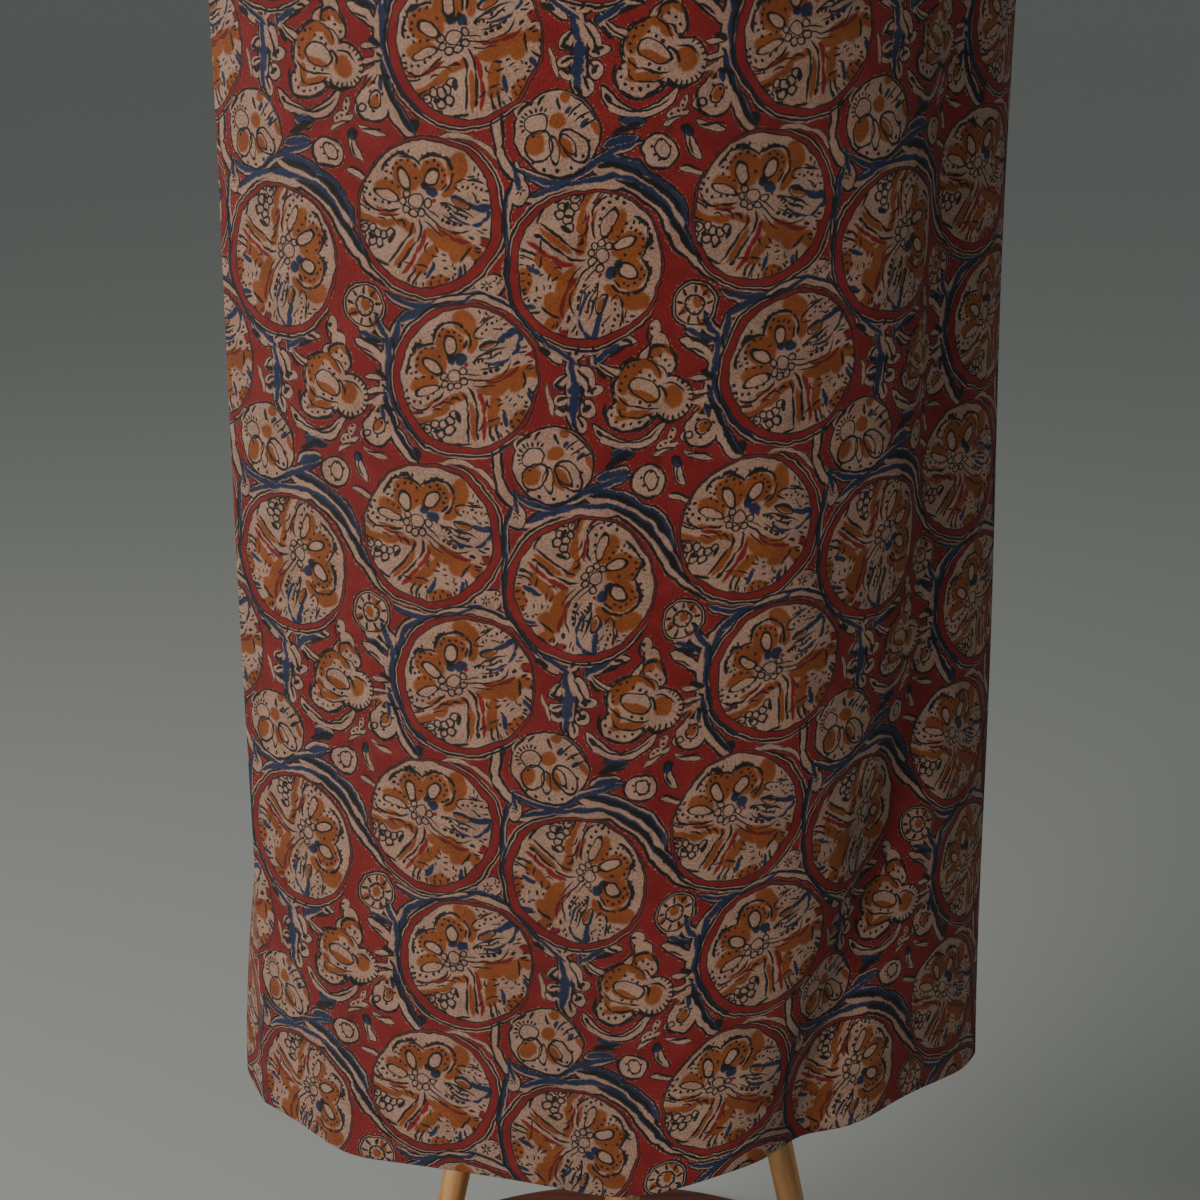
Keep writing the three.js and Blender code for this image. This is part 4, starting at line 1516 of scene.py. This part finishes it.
def soften(piece: Piece, width: float, segments: int = 3) -> None:
    """Rounds a piece's sharp edges.

    Args:
        piece: the piece.
        width: the width of each rounding.
        segments: how many faces it has.
    """
    bevel = piece.modifiers.new("rounded", "BEVEL")
    bevel.width = width
    bevel.segments = segments
    bevel.limit_method = "ANGLE"
    bevel.harden_normals = True


# ---------------------------------------------------------------- the cloth


@dataclass(frozen=True)
class FoldedCloth:
    """The panel: two layers, joined by the fold that ends its front drop. Lengths are in metres."""

    bow_x: float
    bow_y: float
    bow_radius: float
    rail_height: float
    rail_radius: float
    fold_bottom: float
    fold_rise: float = 0.013
    back_end: float = 1.018
    left: float = -0.254
    right: float = 0.301
    crease: float = -0.216
    crease_half: float = 0.004
    crease_turn: float = 0.85
    crease_turn_at_foot: float = 0.35
    thickness: float = 0.0012
    pitch: float = 0.004
    clearance: float = 0.0026
    flare: float = 0.037
    flare_power: float = 1.7
    trough_depth: float = 0.010
    trough_spread: float = 0.024
    trough_middle: float = 0.232
    trough_drift: float = 0.020
    trough_hook: float = 0.075
    waves: tuple[tuple[float, float, float, float], ...] = ((0.0011, 34, 5.0, 0.6), (0.0008, 61, -9.0, 0.0))
    dimple_depth: float = 0.0009
    sags: tuple[Point, ...] = (
        (-0.150, 0.005, 0.030), (0.022, 0.013, 0.045), (0.200, -0.006, 0.040), (0.300, 0.011, 0.040),
    )
    flute_depth: float = 0.009
    flutes: int = 7
    front_share_of_map: float = 0.72
    back_rows: int = 36
    over_rows: int = 12
    front_rows: int = 118
    fold_rows: int = 10
    strip_columns: int = 9
    crease_columns: int = 5
    front_columns: int = 92

    @classmethod
    def over(cls, rail: Box, cloth: Box) -> "FoldedCloth":
        """Works out where the cloth hangs.

        Args:
            rail: the box of the rail.
            cloth: the box of the cloth's own solid.

        Returns:
            The cloth.
        """
        (low, high), (cloth_low, _) = rail, cloth
        thick = (high.z - low.z) / 2
        return cls(
            bow_x=(low.x + high.x) / 2,
            bow_y=high.y,
            bow_radius=(high.x - low.x) / 2 - thick,
            rail_height=(low.z + high.z) / 2,
            rail_radius=thick,
            fold_bottom=cloth_low.z + cls.fold_rise,
        )

    def path(self) -> dict[str, np.ndarray]:
        """Lays out the cloth's way from the outer layer's cut end, over the rail, round the fold and back.

        Returns:
            For each stop: its height z, how far out it lies from the rail's middle line, its share of the
            front drop, its share of the back drop, and its length along the cloth from the bottom fold.
        """
        inner = self.rail_radius + self.clearance + self.thickness / 2
        outer = inner + self.pitch
        bend = self.pitch / 2
        centre = self.fold_bottom + bend + self.thickness / 2
        drop = self.rail_height - centre

        def layer(offset: float) -> np.ndarray:
            """Lays out one layer, which clears the rail's middle line by offset, down to the fold."""
            back = np.linspace(0, 1, self.back_rows, endpoint=False)
            behind = joined(self.back_end + (self.rail_height - self.back_end) * back, -offset, 0.0, 1 - back)
            turn = np.pi * (1 - np.linspace(0, 1, self.over_rows, endpoint=False))
            over = joined(self.rail_height + offset * np.sin(turn), offset * np.cos(turn), 0.0, 0.0)
            share = np.linspace(0, 1, self.front_rows)
            front = joined(self.rail_height - drop * share, offset, share, 0.0)
            return np.concatenate([behind, over, front])

        turn = np.pi * np.linspace(0, 1, self.fold_rows)[1:-1]
        fold = joined(centre - bend * np.sin(turn), outer - bend + bend * np.cos(turn), 1.0, 0.0)
        stops = np.concatenate([layer(outer), fold, layer(inner)[::-1]])
        z, out, share, back = stops.T
        length = np.concatenate([[0.0], np.cumsum(np.hypot(np.diff(z), np.diff(out)))])
        lowest = length[np.argmin(z)]
        return {"z": z, "out": out, "share": share, "back": back, "length": lowest - length}

    def places(self) -> np.ndarray:
        """Returns the places across the cloth where its points lie, closer together by the side crease."""
        start, end = self.crease - self.crease_half, self.crease + self.crease_half
        strip = np.linspace(self.left, start, self.strip_columns, endpoint=False)
        edge = np.linspace(start, end, self.crease_columns, endpoint=False)
        return np.concatenate([strip, edge, np.linspace(end, self.right, self.front_columns)])

    def _relief(self, across: np.ndarray, share: np.ndarray) -> np.ndarray:
        """Works out the front's relief: a bell-shaped trough that runs down it, and slow sine waves.

        Args:
            across: the places across the cloth.
            share: the shares of the front drop.

        Returns:
            How far each place stands out of the plain bow.
        """
        hook = self.trough_hook * smoothstep(0.6, 1.0, share)
        middle = self.trough_middle - self.trough_drift * share - hook
        trough = np.exp(-(((across - middle) / self.trough_spread) ** 2)) * smoothstep(0.02, 0.2, share)
        hanging = smoothstep(0.03, 0.35, share)
        waves = sum(
            height * np.sin(turns * across + drift * share + phase)
            for height, turns, drift, phase in self.waves
        )
        dimples = self.dimple_depth * np.sin(23 * across + 1.3) * np.sin(11 * share + 0.4)
        return hanging * (waves + dimples) - self.trough_depth * trough

    def surface(self) -> tuple[np.ndarray, np.ndarray, np.ndarray]:
        """Works out the cloth's middle surface: its path, bent round the bow and turned back at the crease.

        Returns:
            Its grid of points, each point's place on the flat cloth in metres, and its place on the bake map.
        """
        path = self.path()
        z, out, share, back = (path[name][:, None] for name in ("z", "out", "share", "back"))
        across = self.places()[None, :]
        flare = self.flare * share ** self.flare_power
        hang = self.bow_radius + self.rail_radius + self.clearance + self.pitch + flare
        phase = (across - self.left) / (self.right - self.left)
        flute = self.flute_depth * back * np.sin(self.flutes * np.pi * phase)
        reach = self.bow_radius + out + flare + self._relief(across, share) + flute
        x, y = reach * np.sin(across / hang), -reach * np.cos(across / hang)
        crease_reach = self.bow_radius + out + flare
        crease_x = crease_reach * np.sin(self.crease / hang)
        crease_y = -crease_reach * np.cos(self.crease / hang)
        foot = smoothstep(0.65, 1.0, share)
        strip = 1 - smoothstep(-0.005, 0.002, across - self.crease)
        folded = self.crease_turn + (self.crease_turn_at_foot - self.crease_turn) * foot
        turn = -smoothstep(0.01, 0.16, share) * folded * strip
        from_x, from_y = x - crease_x, y - crease_y
        x = crease_x + from_x * np.cos(turn) - from_y * np.sin(turn)
        y = crease_y + from_x * np.sin(turn) + from_y * np.cos(turn)
        sag = sum(depth * np.exp(-(((across - at) / spread) ** 2)) for at, depth, spread in self.sags)
        height = z - sag * smoothstep(0.3, 1.0, share)
        points = joined(self.bow_x + x, self.bow_y + y, height)
        length = path["length"][:, None]
        flat = joined(across, length)
        front = self.rail_height - self.fold_bottom
        spare = (1 - self.front_share_of_map) / 2
        rise = np.interp(length, [length.min(), 0.0, front, length.max()], [0.0, spare, 1 - spare, 1.0])
        return points, flat, joined(phase, rise)

    def build(self, material: Material) -> Piece:
        """Args:
            material: its finish.

        Returns:
            The new object.
        """
        points, flat, baked = self.surface()
        rows, columns, _ = points.shape
        faces = grid_faces(rows, columns, closed=False)
        maps = {"flat": flat.reshape(-1, 2), "OFBake": baked.reshape(-1, 2)}
        piece = mesh_piece("printed_panel", points.reshape(-1, 3), faces, maps, material)
        solid = piece.modifiers.new("thickness", "SOLIDIFY")
        solid.thickness = self.thickness
        solid.offset = 0.0
        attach(piece, "root")
        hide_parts("kalamkari_cloth")
        return piece


# ---------------------------------------------------------------- the stand


@dataclass(frozen=True)
class Stand:
    """The plain wooden stand, rebuilt round the boxes of its solids. Lengths are in metres."""

    sides: int = 48
    base_sides: int = 160
    base_edge: float = 0.006
    collar_edge: float = 0.005
    bow_steps: int = 96
    leg_foot_radius: float = 0.010
    leg_top_radius: float = 0.0115
    legs: int = 4
    eased: float = 0.0006
    bar_eased: float = 0.002
    hub_share: float = 0.2

    def _dress(self, piece: Piece, node: str) -> None:
        """Attaches a piece to the root body and hides the solid of the stand that it stands for.

        Args:
            piece: the piece.
            node: the solid's name.
        """
        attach(piece, "root")
        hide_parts(node)
        LOG.info("built %s with %d faces", piece.name, len(piece.data.polygons))

    def _rings(self, centres: np.ndarray, radii: np.ndarray, sides: int) -> np.ndarray:
        """Works out level rings of points, each at a radius about its centre.

        Args:
            centres: the centre of each ring.
            radii: the radius of each.
            sides: how many points each has.

        Returns:
            The rings.
        """
        turn = np.linspace(0, 2 * np.pi, sides, endpoint=False)
        ring = joined(np.cos(turn), np.sin(turn), 0.0)
        return centres[:, None, :] + radii[:, None, None] * ring[None]

    def _disc(self, node: str, edge: float, both: bool, material: Material) -> None:
        """Builds a turned disc in a solid's box, from a profile of quarter-round edges.

        Args:
            node: the solid's name.
            edge: the radius of the rounded edge.
            both: whether the lower edge is rounded too.
            material: that wood's material.
        """
        low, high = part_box(node)
        radius, thick = (high.x - low.x) / 2, high.z - low.z
        turn = np.linspace(0, np.pi / 2, 9)
        radii = list(radius - edge * (1 - np.cos(turn)))
        rise = edge * np.sin(turn)
        foot_radii = radii[::-1] if both else [radius - self.eased, radius]
        foot_heights = list(edge - rise)[::-1] if both else [0.0, self.eased]
        hub = [radius * self.hub_share]
        r = np.array(hub + foot_radii + radii + hub)
        z = np.array([0.0] + foot_heights + list(thick - edge + rise) + [thick])
        centres = joined((low.x + high.x) / 2, (low.y + high.y) / 2, low.z + z)
        rings = self._rings(centres, r, self.base_sides)
        x, y, height = rings.reshape(-1, 3).T
        piece = lofted(f"{node}_wood", rings, material, joined(y + height, x))
        self._dress(piece, node)

    def _leg(self, index: int, material: Material) -> None:
        """Builds one splayed leg, a straight taper between the level ends of its solid.

        Args:
            index: its number, from 0.
            material: its finish.
        """
        node = f"leg_{index + 1}"
        low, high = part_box(node)
        turn = index * 2 * math.pi / self.legs
        way = Vector((math.cos(turn), math.sin(turn), 0.0))
        far = max(abs(low.dot(way)), abs(high.dot(way))) - self.leg_foot_radius
        near = min(abs(low.dot(way)), abs(high.dot(way))) + self.leg_top_radius
        share = np.linspace(0, 1, 13)
        reach = far + (near - far) * share
        radii = self.leg_foot_radius + (self.leg_top_radius - self.leg_foot_radius) * share
        centres = joined(reach * way.x, reach * way.y, low.z + (high.z - low.z) * share)
        piece = lofted(f"{node}_wood", self._rings(centres, radii, self.sides), material)
        soften(piece, self.eased, 2)
        self._dress(piece, node)

    def _post(self, material: Material) -> None:
        """Builds the upright post."""
        low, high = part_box("post")
        z = np.linspace(low.z, high.z, 17)
        centres = joined((low.x + high.x) / 2, (low.y + high.y) / 2, z)
        radii = np.full_like(z, (high.x - low.x) / 2)
        piece = lofted("post_wood", self._rings(centres, radii, self.sides), material)
        soften(piece, self.eased, 2)
        self._dress(piece, "post")

    def _cross_bar(self, material: Material) -> None:
        """Builds the square cross bar, its edges eased."""
        low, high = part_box("cross_bar")
        x = np.linspace(low.x, high.x, 15)
        half = (high.z - low.z) / 2
        square = np.array([(0.0, -half, -half), (0.0, half, -half), (0.0, half, half), (0.0, -half, half)])
        centres = joined(x, (low.y + high.y) / 2, (low.z + high.z) / 2)
        piece = lofted("cross_bar_wood", centres[:, None, :] + square[None], material)
        soften(piece, self.bar_eased, 4)
        self._dress(piece, "cross_bar")

    def _bow_rail(self, cloth: FoldedCloth, material: Material) -> None:
        """Builds the rail, a round section carried along half a circle.

        Args:
            cloth: the cloth, which knows the rail's bow.
            material: the rail's finish.
        """
        turn = np.linspace(np.pi / 2, -np.pi / 2, self.bow_steps)[:, None]
        angle = np.linspace(0, 2 * np.pi, self.sides, endpoint=False)[None, :]
        reach = cloth.bow_radius + cloth.rail_radius * np.cos(angle)
        x = cloth.bow_x + reach * np.sin(turn)
        y = cloth.bow_y - reach * np.cos(turn)
        z = cloth.rail_height + cloth.rail_radius * np.sin(angle)
        piece = lofted("bow_rail_wood", joined(x, y, z), material)
        self._dress(piece, "bow_rail")

    def build(self, cloth: FoldedCloth) -> None:
        """Builds every piece of the stand.

        Args:
            cloth: the cloth that hangs on it.
        """
        pale, dark = PALE_WOOD.material(), DARK_WOOD.material()
        self._disc("base_board", self.base_edge, False, dark)
        self._disc("collar", self.collar_edge, True, pale)
        for index in range(self.legs):
            self._leg(index, pale)
        self._post(pale)
        self._cross_bar(pale)
        self._bow_rail(cloth, pale)


# ---------------------------------------------------------------- the studio


@dataclass(frozen=True)
class Studio:
    """The pale floor, the soft light and the camera. Lengths are in metres and angles in degrees."""

    floor_half: float = 60.0
    camera_distance: float = 1.155
    camera_rise: float = 0.665
    pitch: float = 19.85
    yaw: float = -0.48
    lens: float = 54.0
    floor_colour: Colour = (0.42, 0.44, 0.42)
    sky_colour: Colour = (0.80, 0.83, 0.81)
    sky_strength: float = 0.24

    def floor(self) -> None:
        """Lays the floor."""
        half = self.floor_half
        corners = np.array([(-half, -half, 0.0), (half, -half, 0.0), (half, half, 0.0), (-half, half, 0.0)])
        material, _, surface = fresh_material("pale_floor")
        surface.inputs["Base Color"].default_value = (*self.floor_colour, 1.0)
        surface.inputs["Roughness"].default_value = 0.9
        mesh_piece("floor", corners, [(0, 1, 2, 3)], {}, material)

    def _light(self, name: str, place: Point, aim: Point, size: float, power: float, colour: Colour) -> None:
        """Hangs one soft square light.

        Args:
            name: its name.
            place: where it hangs.
            aim: the point it faces.
            size: the length of its side.
            power: its power in watts.
            colour: its colour.
        """
        data = bpy.data.lights.new(name, "AREA")
        data.size = size
        data.energy = power
        data.color = colour
        lamp = bpy.data.objects.new(name, data)
        lamp.location = place
        lamp.rotation_euler = (Vector(aim) - Vector(place)).to_track_quat("-Z", "Y").to_euler()
        bpy.context.collection.objects.link(lamp)

    def light(self) -> None:
        """Lights the object softly from the upper left, with a weak fill from the right."""
        self._light("key", (-2.1, -1.75, 2.4), (0.0, -0.2, 0.85), 1.5, 96.0, (1.0, 0.96, 0.91))
        self._light("fill", (2.4, -1.8, 1.5), (0.0, -0.1, 0.8), 2.0, 3.0, (0.93, 0.97, 1.0))
        world = bpy.data.worlds.new("studio")
        world.use_nodes = True
        sky = world.node_tree.nodes["Background"]
        sky.inputs["Color"].default_value = (*self.sky_colour, 1.0)
        sky.inputs["Strength"].default_value = self.sky_strength
        bpy.context.scene.world = world

    def camera(self, cloth: FoldedCloth) -> None:
        """Puts the camera in front of the bow, looking down on the panel.

        Args:
            cloth: the cloth that it looks at.
        """
        data = bpy.data.cameras.new("camera")
        data.lens = self.lens
        data.sensor_width = 36.0
        camera = bpy.data.objects.new("camera", data)
        height = cloth.fold_bottom + self.camera_rise
        camera.location = (cloth.bow_x, cloth.bow_y - self.camera_distance, height)
        camera.rotation_euler = Euler((math.radians(90 - self.pitch), 0.0, math.radians(self.yaw)))
        bpy.context.collection.objects.link(camera)
        bpy.context.scene.camera = camera


def main() -> None:
    """Builds the whole dressed model and reports each piece."""
    logging.basicConfig(level=logging.INFO, format="%(message)s")
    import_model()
    cloth = FoldedCloth.over(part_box("bow_rail"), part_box("kalamkari_cloth"))
    panel = cloth.build(KalamkariPrint().material())
    LOG.info("built %s with %d faces", panel.name, len(panel.data.polygons))
    Stand().build(cloth)
    studio = Studio()
    studio.floor()
    studio.light()
    studio.camera(cloth)
    bpy.context.view_layer.update()


if __name__ == "__main__":
    main()
